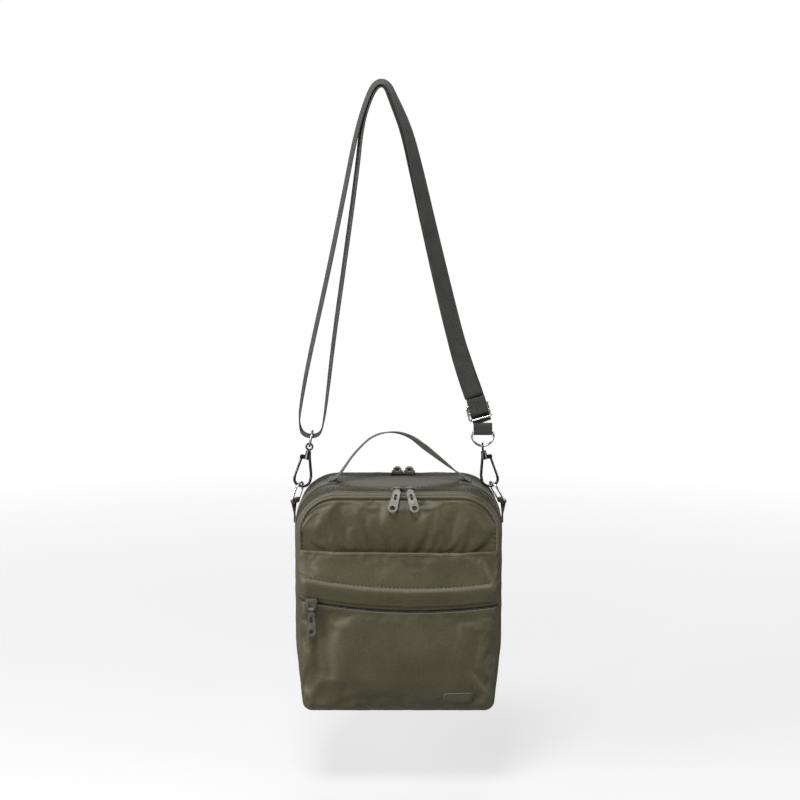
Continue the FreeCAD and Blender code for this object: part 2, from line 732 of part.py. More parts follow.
def hook_body(eye, side):
    """Head with the swivel's bore, long leg and lower bend, up to the hook's nose."""
    leg = HOOK_TURN_X - HOOK_BEND_R
    points = [
        hook_point(eye, side, *LEG_START),
        hook_point(eye, side, leg, HOOK_BEND_DROP - 4.0),
        hook_point(eye, side, leg + 0.6, HOOK_BEND_DROP + HOOK_BEND_R),
        hook_point(eye, side, HOOK_TURN_X + HOOK_BEND_R, HOOK_BEND_DROP + HOOK_BEND_R),
        hook_point(eye, side, HOOK_TURN_X + HOOK_BEND_R, HOOK_BEND_DROP - 1.0),
    ]
    wire = tube(points, [0, 12.0, 7.0, 7.0, 0], HOOK_WIRE_R)
    down = hook_axis(side)
    head_start = EYE_R + EYE_WIRE_R + HEAD_START
    head = Part.makeCone(HEAD_TOP_R, HEAD_END_R, HEAD_L, eye + down * head_start, down)
    bore = Part.makeCylinder(POST_BORE_R, head_start + HEAD_L, eye, down).common(head)
    seat = Part.makeCylinder(SEAT_R, SEAT_L, eye + down * (EYE_R + POST_L - 0.2), down)
    knuckle = knuckle_plates(eye, side)
    return head.fuse(wire).fuse(knuckle).cut(bore).cut(seat).removeSplitter()


def knuckle_plates(eye, side):
    """Two cheeks that hold the gate's pivot beside the head."""
    centre = hook_point(eye, side, *KNUCKLE)
    plates = None
    depth = V(0, 1, 0)
    discs = ((0.0, 0.0, 2.1), (1.7, 0.3, 1.8), (3.4, 0.6, 1.6))
    for y in (-CHEEK_OUT, CHEEK_OUT - CHEEK_T):
        piece = None
        for back, up, radius in discs:
            place = hook_point(eye, side, KNUCKLE[0] - back, KNUCKLE[1] - up)
            disc = Part.makeCylinder(radius, CHEEK_T, place + depth * y, depth)
            piece = disc if piece is None else piece.fuse(disc)
        piece = piece.cut(Part.makeCylinder(PIN_R, 9, centre - depth * 4.5, depth))
        plates = piece if plates is None else plates.fuse(piece)
    return plates


def hook_gate(eye, side):
    """The sprung gate, from its pivot down to the hook's nose."""
    pivot = hook_point(eye, side, *KNUCKLE)
    nose = hook_point(eye, side, HOOK_TURN_X + HOOK_BEND_R, HOOK_BEND_DROP - 1.0)
    reach = nose - pivot
    length = reach.Length - GATE_CLEAR
    along = V(reach.x, reach.y, reach.z).normalize()
    arm = Part.makeCylinder(1.2, length - 1.3, pivot + along * 1.3, along)
    eye_disc = Part.makeCylinder(1.9, 2.4, pivot - V(0, 1.2, 0), V(0, 1, 0))
    bore = Part.makeCylinder(PIN_R + 0.07, 8, pivot - V(0, 4, 0), V(0, 1, 0))
    return eye_disc.fuse(arm).cut(bore).removeSplitter()


def hook_rivet(eye, side):
    """The gate's pin, held in both cheeks, with its round heads."""
    pivot = hook_point(eye, side, *KNUCKLE)
    depth = V(0, 1, 0)
    rivet = Part.makeCylinder(PIN_R, 2 * RIVET_HALF, pivot - depth * RIVET_HALF, depth)
    for y in (-CHEEK_OUT - RIVET_HEAD_T - 0.05, CHEEK_OUT + 0.05):
        head = Part.makeCylinder(RIVET_HEAD_R, RIVET_HEAD_T, pivot + depth * y, depth)
        rivet = rivet.fuse(head)
    return rivet.removeSplitter()


def hook_low_point(eye, side):
    """Centre of the wire at the lowest place of the hook's bend."""
    return hook_point(eye, side, HOOK_TURN_X + 0.3, HOOK_BEND_DROP + HOOK_BEND_R)


def glide_axes():
    """Directions across, down and out of the adjuster."""
    tilt = math.radians(GLIDE_TILT)
    face = math.radians(90 - GLIDE_FACE)
    down = V(math.sin(tilt), 0, -math.cos(tilt))
    across = V(math.cos(tilt), 0, math.sin(tilt)) * math.cos(face) + V(0, 1, 0) * math.sin(face)
    return across, down, across.cross(down)


def tri_glide():
    """The adjuster: a wire frame with a middle bar."""
    across, down, _ = glide_axes()
    half_w = across * (GLIDE_W / 2 - GLIDE_WIRE_R)
    half_h = down * (GLIDE_H / 2 - GLIDE_WIRE_R)
    corners = [
        GLIDE - half_w - half_h,
        GLIDE + half_w - half_h,
        GLIDE + half_w + half_h,
        GLIDE - half_w + half_h,
    ]
    frame = tube(corners, [2.0, 2.0, 2.0, 2.0], GLIDE_WIRE_R, closed=True)
    bar = Part.makeCylinder(GLIDE_WIRE_R, 2 * half_w.Length, GLIDE - half_w, half_w)
    return frame.fuse(bar).removeSplitter()


def sewn_loop(bar, across, down, bar_r, length):
    """Webbing folded round a bar: two layers that run `length` up from it, sewn at the end."""
    out = across.cross(down).normalize()
    inner = bar_r + BAR_CLEAR
    outer = inner + WEB_T
    start = bar - across * (WEB_W / 2)
    turn = Part.makeCylinder(outer, WEB_W, start, across)
    hole = Part.makeCylinder(inner, WEB_W + 2, start - across, across)
    below = slanted_box(bar, across, down, out, (-outer - 1, outer + 1), (0, outer + 1))
    fold = turn.cut(hole).common(below)
    front = slanted_box(bar, across, down, out, (inner, outer), (-length, 0))
    back = slanted_box(bar, across, down, out, (-outer, -inner), (-length, 0))
    seam = slanted_box(bar, across, down, out, (-outer, outer), (-length, -length + LOOP_SEAM))
    return fold.fuse(front).fuse(back).fuse(seam).removeSplitter()


def slanted_box(origin, across, down, out, out_span, down_span):
    """A box as wide as the webbing, placed by the webbing's own directions."""
    a, b = out_span
    c, d = down_span
    corners = []
    for o, w in ((a, -1), (b, -1), (b, 1), (a, 1)):
        corners.append(origin + out * o + across * (w * WEB_W / 2) + down * c)
    face = Part.Face(Part.makePolygon(corners + [corners[0]]))
    return face.extrude(down * (d - c))


# ================= the whole object =================

def strap_nodes():
    """The strap, its adjuster and its sewn ends."""
    across, down, _ = glide_axes()
    level = V(1, 0, 0)
    plumb = V(0, 0, -1)
    return {
        "strap_strand_outer": ribbon(OUTER_ROUTE, WEB_W, WEB_T, -1.0),
        "strap_strand_inner": ribbon(INNER_ROUTE, WEB_W, WEB_T, 1.0),
        "tri_glide_slider": tri_glide(),
        "slider_end_loop": sewn_loop(GLIDE, across, down, GLIDE_WIRE_R, GLIDE_LOOP),
        "right_end_loop": sewn_loop(RIGHT_RING, level, plumb, RING_R, END_LOOP),
        "left_strap_ring": d_ring(
            LEFT_RING, STRAP_RING_W, STRAP_RING_H, RING_R, V(0, 1, 0), LEFT_HANG
        ),
        "right_strap_ring": d_ring(
            RIGHT_RING, STRAP_RING_W, STRAP_RING_H, RING_R, level, RIGHT_HANG
        ),
    }


def hook_nodes():
    """Both snap hooks and the bag's rings and tabs."""
    nodes = {}
    sides = (
        ("left", -1, V(0, 1, 0)),
        ("right", 1, V(1, 0, 0)),
    )
    for name, side, ring_axis in sides:
        eye = strap_eye(side)
        bar = bag_bar(side)
        nodes[name + "_swivel_eye"] = swivel_eye(eye, side, ring_axis)
        nodes[name + "_hook_body"] = hook_body(eye, side)
        nodes[name + "_hook_gate"] = hook_gate(eye, side)
        nodes[name + "_hook_rivet"] = hook_rivet(eye, side)
        nodes[name + "_bag_ring"] = bag_ring(bar, hook_low_point(eye, side), side)
        nodes[name + "_ring_tab"] = ring_tab(bar, hook_low_point(eye, side), side)
        nodes[name + "_handle_base"] = handle_base(side)
    return nodes


def shell_nodes():
    """Gusset, divider, lids and panels."""
    nodes = {
        "centre_gusset": band(-GUSSET_HALF, 0.0, GUSSET_HALF, 0.0, GUSSET_WALL),
        "divider_panel": divider(),
        "front_zipper_body_tape": body_tape(-1),
        "rear_zipper_body_tape": body_tape(1),
        "front_panel": front_panel(),
        "front_pad": front_pad(),
        "rear_panel": rear_panel(),
    }
    for name, side in (("front", -1), ("rear", 1)):
        for part, shape in lid(side).items():
            nodes[name + "_" + part] = shape
    return nodes


def pocket_nodes():
    """The slip pocket and the zipped pocket on it."""
    return {
        "slip_pocket_panel": pocket_panel(),
        "pocket_upper_band": pocket_upper_band(),
        "pocket_zip_tape": pocket_cover(POCKET_ZIP_HALF, POCKET_ZIP_HALF, TAPE_T),
        "pocket_lower_panel": pocket_cover(-POCKET_ZIP_HALF, BAG_HEIGHT, COVER_T),
        "pocket_flap": pocket_flap(),
        "pocket_zip_slider": pocket_slider(),
        "pocket_zip_pull": pocket_pull(),
        "label_tab": label_tab(),
    }


def handle_nodes():
    """The carrying handle's free arch and the two turns where it leaves the bag."""
    return {
        "handle_strap": ribbon(HANDLE_ROUTE, WEB_W, WEB_T, -1.0),
        "handle_left_foot": ribbon(LEFT_FOOT_ROUTE, WEB_W, WEB_T, -1.0),
        "handle_right_foot": ribbon(RIGHT_FOOT_ROUTE, WEB_W, WEB_T, -1.0),
    }


def zipper_nodes():
    """Two sliders with pulls on each main zipper, meeting near the middle."""
    nodes = {}
    apart = SLIDER_HALF_L + SLIDER_SPACE / 2
    for name, side in (("front", -1), ("rear", 1)):
        for hand, way in (("left", -1), ("right", 1)):
            x = SLIDERS_MEET_X + way * apart
            nodes[f"{name}_slider_{hand}"] = top_slider(x, side)
            nodes[f"{name}_pull_{hand}"] = top_pull(x, side, -way * FRONT_SPLAY)
    return nodes


def print_route(name, route):
    """The radius of each bend in a route, and its smallest."""
    points = [V(*p[:3]) for p in route]
    radii = [corner_arc(points, i)[2] for i in range(1, len(points) - 1)]
    print(name, "radii mm:", " ".join(f"{r:.0f}" for r in radii), "least", round(min(radii), 1))


def main():
    """Builds every node and writes one STEP file for each."""
    os.makedirs("parts", exist_ok=True)
    nodes = {}
    for group in (strap_nodes, hook_nodes, shell_nodes, pocket_nodes, handle_nodes, zipper_nodes):
        nodes.update(group())
    for name, shape in sorted(nodes.items()):
        if not shape.isValid():
            print("not valid:", name)
        shape.exportStep(os.path.join("parts", name + ".step"))
    print_route("outer strand", OUTER_ROUTE)
    print_route("inner strand", INNER_ROUTE)
    print(len(nodes), "nodes")
    return nodes


NODES = main()
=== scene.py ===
import json
import math

import bpy
from mathutils import Matrix, Vector, noise
from mathutils.bvhtree import BVHTree
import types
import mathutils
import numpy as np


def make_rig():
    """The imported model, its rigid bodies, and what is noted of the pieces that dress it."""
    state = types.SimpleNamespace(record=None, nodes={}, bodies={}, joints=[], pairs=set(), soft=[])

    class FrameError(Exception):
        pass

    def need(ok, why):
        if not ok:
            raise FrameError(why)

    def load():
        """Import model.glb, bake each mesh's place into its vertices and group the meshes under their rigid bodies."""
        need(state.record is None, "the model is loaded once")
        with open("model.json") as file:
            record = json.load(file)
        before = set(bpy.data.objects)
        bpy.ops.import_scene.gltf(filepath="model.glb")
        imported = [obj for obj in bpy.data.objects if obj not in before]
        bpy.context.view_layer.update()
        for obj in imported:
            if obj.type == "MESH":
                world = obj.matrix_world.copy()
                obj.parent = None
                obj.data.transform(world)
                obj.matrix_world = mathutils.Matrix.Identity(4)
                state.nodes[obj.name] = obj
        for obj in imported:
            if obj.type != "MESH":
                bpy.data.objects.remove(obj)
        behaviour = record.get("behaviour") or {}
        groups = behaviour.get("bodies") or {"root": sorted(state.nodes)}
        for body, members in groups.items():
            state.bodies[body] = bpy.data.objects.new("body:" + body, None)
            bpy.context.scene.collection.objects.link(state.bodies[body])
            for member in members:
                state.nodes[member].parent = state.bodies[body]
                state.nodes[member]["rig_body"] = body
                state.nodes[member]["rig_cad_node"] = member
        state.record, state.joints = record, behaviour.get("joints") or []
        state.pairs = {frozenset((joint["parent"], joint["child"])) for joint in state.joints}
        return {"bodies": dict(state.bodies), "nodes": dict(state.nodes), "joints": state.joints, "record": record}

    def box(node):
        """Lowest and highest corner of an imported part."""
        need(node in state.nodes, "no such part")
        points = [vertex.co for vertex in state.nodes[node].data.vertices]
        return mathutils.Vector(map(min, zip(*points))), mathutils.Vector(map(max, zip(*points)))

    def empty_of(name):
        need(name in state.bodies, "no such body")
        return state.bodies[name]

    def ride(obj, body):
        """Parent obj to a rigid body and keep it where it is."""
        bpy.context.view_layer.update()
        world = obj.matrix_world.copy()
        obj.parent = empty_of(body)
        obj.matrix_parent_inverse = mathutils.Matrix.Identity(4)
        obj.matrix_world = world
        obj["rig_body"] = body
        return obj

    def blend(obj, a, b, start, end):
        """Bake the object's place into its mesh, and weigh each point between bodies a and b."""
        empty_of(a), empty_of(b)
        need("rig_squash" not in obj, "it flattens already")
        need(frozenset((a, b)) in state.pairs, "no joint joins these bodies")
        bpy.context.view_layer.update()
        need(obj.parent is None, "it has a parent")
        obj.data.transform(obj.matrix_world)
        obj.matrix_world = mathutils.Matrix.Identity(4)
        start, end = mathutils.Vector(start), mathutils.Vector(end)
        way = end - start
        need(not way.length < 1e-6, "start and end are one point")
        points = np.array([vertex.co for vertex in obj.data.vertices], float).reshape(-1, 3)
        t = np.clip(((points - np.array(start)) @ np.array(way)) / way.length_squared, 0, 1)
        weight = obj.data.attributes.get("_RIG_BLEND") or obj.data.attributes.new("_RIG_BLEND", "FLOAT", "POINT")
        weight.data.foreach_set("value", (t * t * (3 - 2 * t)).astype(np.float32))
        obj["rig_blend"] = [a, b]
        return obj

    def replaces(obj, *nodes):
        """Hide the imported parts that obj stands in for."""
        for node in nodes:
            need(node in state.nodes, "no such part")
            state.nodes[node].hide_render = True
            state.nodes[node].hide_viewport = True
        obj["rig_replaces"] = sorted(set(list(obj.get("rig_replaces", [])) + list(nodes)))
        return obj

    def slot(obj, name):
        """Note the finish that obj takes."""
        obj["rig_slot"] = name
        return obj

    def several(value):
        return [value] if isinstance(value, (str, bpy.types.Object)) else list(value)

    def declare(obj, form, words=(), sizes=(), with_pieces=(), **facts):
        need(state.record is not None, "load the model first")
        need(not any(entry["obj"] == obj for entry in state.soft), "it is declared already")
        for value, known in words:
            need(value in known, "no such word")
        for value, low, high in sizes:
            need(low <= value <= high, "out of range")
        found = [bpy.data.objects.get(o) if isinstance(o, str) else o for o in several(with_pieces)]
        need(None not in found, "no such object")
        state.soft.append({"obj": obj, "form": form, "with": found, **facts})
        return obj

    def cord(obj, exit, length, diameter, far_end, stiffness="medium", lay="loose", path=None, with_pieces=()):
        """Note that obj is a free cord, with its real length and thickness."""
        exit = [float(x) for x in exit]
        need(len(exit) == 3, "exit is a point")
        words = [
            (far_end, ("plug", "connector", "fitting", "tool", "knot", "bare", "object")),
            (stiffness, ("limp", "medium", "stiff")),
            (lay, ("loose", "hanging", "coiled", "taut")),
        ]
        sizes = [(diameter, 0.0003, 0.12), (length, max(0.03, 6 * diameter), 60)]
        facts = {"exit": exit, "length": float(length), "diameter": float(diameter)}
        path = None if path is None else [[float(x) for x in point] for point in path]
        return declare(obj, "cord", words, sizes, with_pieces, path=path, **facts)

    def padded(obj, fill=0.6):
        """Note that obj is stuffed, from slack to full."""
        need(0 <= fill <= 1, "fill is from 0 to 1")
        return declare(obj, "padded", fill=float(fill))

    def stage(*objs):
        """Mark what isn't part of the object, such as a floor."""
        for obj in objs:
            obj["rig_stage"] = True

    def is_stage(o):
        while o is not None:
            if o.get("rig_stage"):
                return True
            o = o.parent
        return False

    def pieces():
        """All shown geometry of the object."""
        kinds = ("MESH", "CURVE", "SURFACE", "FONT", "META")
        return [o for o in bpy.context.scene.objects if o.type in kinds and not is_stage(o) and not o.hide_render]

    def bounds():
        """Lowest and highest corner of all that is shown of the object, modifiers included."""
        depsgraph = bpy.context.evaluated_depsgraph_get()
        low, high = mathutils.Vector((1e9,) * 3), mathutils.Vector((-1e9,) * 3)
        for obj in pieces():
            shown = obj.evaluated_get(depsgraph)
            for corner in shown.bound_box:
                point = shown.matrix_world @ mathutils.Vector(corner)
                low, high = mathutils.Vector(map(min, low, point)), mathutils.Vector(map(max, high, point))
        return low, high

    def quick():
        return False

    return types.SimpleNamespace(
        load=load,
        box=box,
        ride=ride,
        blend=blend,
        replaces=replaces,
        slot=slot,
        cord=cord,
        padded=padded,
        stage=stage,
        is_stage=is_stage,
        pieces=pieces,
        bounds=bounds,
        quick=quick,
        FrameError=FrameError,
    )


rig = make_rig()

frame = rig.load()
CAD_LOW, CAD_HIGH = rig.bounds()

# Crossbody bag hanging by its shoulder strap. Metres, in the CAD's frame: +Z up, front towards -Y.

# ---- the bag, as the CAD has it ----
GUSSET_LOW, GUSSET_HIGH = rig.box("centre_gusset")
BAG_X = (GUSSET_LOW.x + GUSSET_HIGH.x) / 2
HALF_W = (GUSSET_HIGH.x - GUSSET_LOW.x) / 2
TOP = GUSSET_HIGH.z
BOTTOM = GUSSET_LOW.z
GUSSET_HALF = GUSSET_HIGH.y
TAPE_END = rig.box("rear_zipper_body_tape")[1].y
LID_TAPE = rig.box("rear_zipper_lid_tape")[0].y
WALL_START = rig.box("rear_lid_wall")[0].y
WALL_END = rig.box("rear_lid_wall")[1].y
PIPE_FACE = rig.box("rear_piping")[1].y
REAR_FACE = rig.box("rear_panel")[1].y
COVER_FACE = -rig.box("pocket_lower_panel")[0].y
FOOT_HALF_W = 0.097         # half the width at the bottom
KNEE_UP = 0.072             # above the bottom: here the sides start to draw in
KNEE_SOFT = 0.012           # half the height over which they do so gradually
TOP_R = 0.042
KNEE_R = 0.150
FOOT_R = 0.010              # the fabric's bottom corners, tighter than the CAD's 16 mm
LEAST_FOOT_R = 0.006
PANEL_INSET = 0.007         # the panels' and the pocket's edges, inside the outline
POCKET_INSET = 0.003
OUTLINE_COUNT = 360         # points round the outline

# ---- front pocket ----
MOUTH_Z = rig.box("slip_pocket_panel")[1].z
MOUTH_SAG = 0.003
PAD_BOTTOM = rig.box("front_pad")[0].z
ZIP_LEFT = TOP - 0.1065     # the pocket zipper's height at its ends and middle
ZIP_MIDDLE = TOP - 0.1195
ZIP_RIGHT = TOP - 0.113
SLIT_HALF = 0.0011          # half the gap between the fabrics on the zipper
TAPE_HALF = 0.0070
FLAP_LOW = 0.0058           # the flap's edges, above the zipper's line
FLAP_HIGH = 0.0268
ROLL = 0.010                # radius of the pocket's rounded sides
SWELL = 0.0085              # how far the filled pocket bulges below its zipper
SWELL_MEAN = 0.62           # share of the bulge that is taken off again all over
SWELL_SIDE = 0.040          # the bulge grows over these distances from the sides, the bottom
SWELL_LOW = 0.038           # and the zipper
SWELL_ZIP = 0.045
SWELL_START = 0.007         # below the zipper
LEAN = 0.0056               # how far its mouth leans back
LEAN_START = 0.010          # above the zipper
LEAN_REACH = 0.040
PAD_RISE = 0.0056           # how far the padding above the pocket stands out
PAD_ROUND = 0.022           # over this distance from its sides

# ---- webbing ----
WEB_W = 0.019
WEB_T = 0.0014
RIBS = 9                    # ribs across its face
RIB_RELIEF = 0.00009
BASE_T = 0.0016
BASE_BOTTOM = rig.box("left_handle_base")[0].z

# ---- strap, handle: control points, each with the angle its face is turned to the front ----
OUTER_ROUTE = [
    (0.0910, 0.0, -0.3125, 82),
    (0.0830, 0.0, -0.2905, 75),
    (0.0705, 0.0, -0.2470, 60),
    (0.0503, 0.0, -0.1605, 46),
    (0.0340, 0.0, -0.0865, 36),
    (0.0240, 0.0, -0.0435, 26),
    (0.0110, 0.0, -0.0130, 18),
    (0.0035, 0.0, 0.0036, 14),
    (-0.0085, 0.0, 0.0036, 13),
    (-0.0175, 0.0, -0.0140, 12),
    (-0.0280, 0.0, -0.0485, 12),
    (-0.0390, 0.0, -0.1035, 12),
    (-0.0570, 0.0, -0.1900, 12),
    (-0.0765, 0.0, -0.2750, 11),
    (-0.0845, 0.0, -0.3180, 9),
    (-0.0872, 0.0, -0.3400, 5),
    (-0.0825, 0.0, -0.3532, 0),
    (-0.0735, 0.0, -0.3532, 0),
]
INNER_ROUTE = [
    (-0.0735, 0.0, -0.3532, 0),
    (-0.0655, 0.0, -0.3532, 0),
    (-0.0615, 0.0, -0.3380, 5),
    (-0.0576, 0.0, -0.3090, 9),
    (-0.0510, 0.0, -0.2535, 11),
    (-0.0388, 0.0, -0.1700, 12),
    (-0.0266, 0.0, -0.0830, 12),
    (-0.0220, 0.0, -0.0385, 12),
    (-0.0138, 0.0, -0.0125, 12),
    (-0.0062, 0.0, 0.00075, 13),
    (0.0019, 0.0, 0.00075, 14),
    (0.0080, 0.0009, -0.0140, 18),
    (0.0208, 0.0018, -0.0440, 26),
    (0.0316, 0.0024, -0.0870, 36),
    (0.0490, 0.0027, -0.1610, 46),
    (0.0703, 0.0034, -0.2475, 60),
    (0.0840, 0.0052, -0.2905, 76),
    (0.0926, 0.0051, -0.3135, 82),
    (0.0968, 0.0049, -0.3305, 85),
    (0.1002, 0.0024, -0.3398, 88),
]
HANDLE_ROUTE = [
    (-0.0570, 0.0, -0.3984, 0),
    (-0.0480, 0.0, -0.3966, 0),
    (-0.0415, 0.0, -0.3870, 2),
    (-0.0300, 0.0, -0.3700, 4),
    (-0.0090, 0.0, -0.3498, 8),
    (0.0210, 0.0, -0.3488, 16),
    (0.0460, 0.0, -0.3685, 24),
    (0.0690, 0.0, -0.3870, 16),
    (0.0790, 0.0, -0.3948, 6),
    (0.0885, 0.0, -0.3994, 0),
]

# ---- rings that webbing goes round ----
GLIDE = Vector((0.0962, 0.0, -0.3280))          # the adjuster's middle bar
GLIDE_TILT = math.radians(14)
GLIDE_TURN = math.radians(6)
RIGHT_RING = Vector((0.1004, 0.0, -0.3495))     # the right strap ring's bar
BAR_OUT = 0.0019            # the bag rings' bars: outwards from the gusset, below its top, turned
BAR_DROP = 0.0196
RING_YAW = math.radians(24)

# ---- camera, floor, lights ----
CAMERA_PLACE = Vector((0.016, -2.0, 0.045))
CAMERA_AIM = Vector((0.016, 0.0, -0.316))
FLOOR_Z = -0.72
FLOOR_HALF = 2.0
FLOOR_SHARE = 0.40          # the floor's opacity, which falls from full to none between two distances
FADE_START = 0.8
FADE_END = 1.7
ROOM_LIGHT = 0.07
LIGHT_AIM = Vector((0.0, 0.0, -0.40))
LIGHTS = [                  # name, place, size, watts
    ("front_box", (-0.20, -0.90, 0.85), 0.55, 21),
    ("left_box", (-1.25, -0.75, -0.10), 0.7, 20),
    ("right_box", (1.35, -0.60, -0.10), 0.8, 8),
    ("top_box", (-0.1, -0.1, 0.95), 0.8, 0.8),
    ("back_box", (0.0, 1.3, 0.9), 0.8, 9),
]

# ---- how finely cloth and routes are worked out ----
CLOTH_FRAMES = 20
SLIDE_LIMIT = 0.002         # how far cloth may move sideways as it swells
ROUTE_RESOLUTION = 14       # points to each span of a smooth route

# ---- zipper coils ----
COIL_PITCH = 0.0016
COIL_HALF = 0.00052         # half the width of one coil
COIL_NEAR = 0.00015         # a row's reach from the middle of the zipper
COIL_FAR = 0.0021

scene = bpy.context.scene


# ================= camera, light, floor =================

def make_camera():
    """The camera, a little above the bag and straight in front of it."""
    data = bpy.data.cameras.new("camera")
    data.lens = 90
    data.sensor_width = 36
    camera = bpy.data.objects.new("camera", data)
    scene.collection.objects.link(camera)
    camera.location = CAMERA_PLACE
    camera.rotation_euler = (CAMERA_AIM - CAMERA_PLACE).to_track_quat("-Z", "Y").to_euler()
    scene.camera = camera


def area_light(name, place, size, energy):
    """A soft square light at `place`, pointed at the bag."""
    data = bpy.data.lights.new(name, "AREA")
    data.size = size
    data.energy = energy
    light = bpy.data.objects.new(name, data)
    scene.collection.objects.link(light)
    light.location = place
    light.rotation_euler = (LIGHT_AIM - Vector(place)).to_track_quat("-Z", "Y").to_euler()


def make_light():
    """Surroundings that look white but light the bag weakly, and soft lights all round it."""
    world = bpy.data.worlds.new("studio")
    world.use_nodes = True
    tree = world.node_tree
    backdrop = tree.nodes["Background"]
    backdrop.inputs["Color"].default_value = (1.0, 1.0, 1.0, 1.0)
    room = add_node(tree, "ShaderNodeBackground", [("Strength", ROOM_LIGHT)])
    room.inputs["Color"].default_value = (1.0, 1.0, 1.0, 1.0)
    seen = tree.nodes.new("ShaderNodeLightPath")
    mix = tree.nodes.new("ShaderNodeMixShader")
    tree.links.new(seen.outputs["Is Camera Ray"], mix.inputs["Fac"])
    tree.links.new(room.outputs["Background"], mix.inputs[1])
    tree.links.new(backdrop.outputs["Background"], mix.inputs[2])
    tree.links.new(mix.outputs["Shader"], tree.nodes["World Output"].inputs["Surface"])
    scene.world = world
    scene.view_settings.view_transform = "Standard"
    for light in LIGHTS:
        area_light(*light)


def make_floor():
    """A plain pale floor far below the hanging bag."""
    half = FLOOR_HALF
    corners = [(-half, -half), (half, -half), (half, half), (-half, half)]
    floor = mesh_piece("floor", [(x, y, FLOOR_Z) for x, y in corners], [(0, 1, 2, 3)], plain_floor())
    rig.stage(floor)


# ================= meshes =================

def mesh_piece(name, points, faces, material, uvs=None):
    """A smooth-shaded object with these points and faces; uvs holds one place for each point."""
    mesh = bpy.data.meshes.new(name)
    mesh.from_pydata([tuple(p) for p in points], [], faces)
    if uvs is not None:
        layer = mesh.uv_layers.new(name="UVMap")
        for loop in mesh.loops:
            layer.data[loop.index].uv = uvs[loop.vertex_index]
    mesh.polygons.foreach_set("use_smooth", [True] * len(mesh.polygons))
    mesh.materials.append(material)
    piece = bpy.data.objects.new(name, mesh)
    scene.collection.objects.link(piece)
    return piece


def grid_faces(rows, columns, wrap_rows=False, wrap_columns=False):
    """Quads of a grid whose point (i, j) has the number i * columns + j."""
    faces = []
    for i in range(rows if wrap_rows else rows - 1):
        for j in range(columns if wrap_columns else columns - 1):
            a = i * columns + j
            b = i * columns + (j + 1) % columns
            c = ((i + 1) % rows) * columns + (j + 1) % columns
            d = ((i + 1) % rows) * columns + j
            faces.append((a, b, c, d))
    return faces


def placed(piece, body, slot, *nodes):
    """Ties a piece to its body, its finish and the CAD nodes that it stands for."""
    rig.ride(piece, body)
    if nodes:
        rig.replaces(piece, *nodes)
    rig.slot(piece, slot)
    return piece


def thicken(piece, thickness, levels=1):
    """Gives a sheet its thickness, inwards from its face, and rounds it off."""
    solid = piece.modifiers.new("thickness", "SOLIDIFY")
    solid.thickness = thickness
    solid.offset = -1
    if levels:
        smooth = piece.modifiers.new("smooth", "SUBSURF")
        smooth.levels = levels
        smooth.render_levels = levels


def outline(count):
    """Evenly spaced points round the bag's front outline, each with its outward direction."""
    knee = BOTTOM + KNEE_UP
    corners = [
        (BAG_X + HALF_W, TOP, TOP_R),
        (BAG_X + HALF_W, knee, KNEE_R),
        (BAG_X + FOOT_HALF_W, BOTTOM, FOOT_R),
        (BAG_X - FOOT_HALF_W, BOTTOM, FOOT_R),
        (BAG_X - HALF_W, knee, KNEE_R),
        (BAG_X - HALF_W, TOP, TOP_R),
    ]
    dense = []
    for i, (x, z, radius) in enumerate(corners):
        here = Vector((x, z))
        before = (Vector(corners[i - 1][:2]) - here).normalized()
        after = (Vector(corners[(i + 1) % 6][:2]) - here).normalized()
        half = before.angle(after) / 2
        start = here + before * (radius / math.tan(half))
        centre = here + (before + after).normalized() * (radius / math.sin(half))
        steps = 12
        for k in range(steps + 1):
            turn = Matrix.Rotation(-(math.pi - 2 * half) * k / steps, 2)
            outward = turn @ ((start - centre) / radius)
            dense.append((centre + outward * radius, outward))
    return resampled(dense, count)


def resampled(dense, count):
    """`count` evenly spaced (place, direction) pairs on a closed line of such pairs."""
    marks = [0.0]
    for (a, _), (b, _) in zip(dense, dense[1:] + dense[:1]):
        marks.append(marks[-1] + (b - a).length)
    placed = []
    k = 0
    for i in range(count):
        at = marks[-1] * i / count
        while marks[k + 1] < at:
            k += 1
        share = (at - marks[k]) / max(marks[k + 1] - marks[k], 1e-9)
        a, b = dense[k], dense[(k + 1) % len(dense)]
        placed.append((a[0].lerp(b[0], share), a[1].lerp(b[1], share).normalized()))
    return placed


OUTLINE = outline(OUTLINE_COUNT)


def on_outline(i, inset, y):
    """The outline's point i, drawn in by `inset`, at depth y."""
    place, outward = OUTLINE[i % OUTLINE_COUNT]
    return Vector((place.x - outward.x * inset, y, place.y - outward.y * inset))


def band(name, section, material, ripple=0.0, grain=0.02):
    """A closed section of (y, inset) points carried all round the bag's outline."""
    points = []
    for i in range(OUTLINE_COUNT):
        for y, inset in section:
            place = on_outline(i, inset, y)
            lift = ripple * noise.noise(place / grain)
            points.append(on_outline(i, inset - lift, y))
    return mesh_piece(name, points, grid_faces(OUTLINE_COUNT, len(section), True, True), material)


def half_width(z, inset):
    """Half the bag's width at height z, `inset` inside its outline."""
    rise = z - (TOP - TOP_R)
    if rise > 0:
        radius = TOP_R - inset
        return HALF_W - TOP_R + math.sqrt(max(radius ** 2 - rise ** 2, 0.0))
    below = BOTTOM + KNEE_UP - z
    softened = (below + math.sqrt(below ** 2 + KNEE_SOFT ** 2)) / 2
    width = HALF_W - inset - softened * (HALF_W - FOOT_HALF_W) / KNEE_UP
    foot = max(FOOT_R - inset, LEAST_FOOT_R)
    drop = min(BOTTOM + inset + foot - z, foot)
    if drop > 0:
        width -= foot - math.sqrt(foot ** 2 - drop ** 2)
    return width


def top_edge(x, inset):
    """Height of the bag's upper outline at x, `inset` inside it."""
    past = abs(x - BAG_X) - (HALF_W - TOP_R)
    if past <= 0:
        return TOP - inset
    radius = TOP_R - inset
    return TOP - TOP_R + math.sqrt(max(radius ** 2 - past ** 2, 0.0))


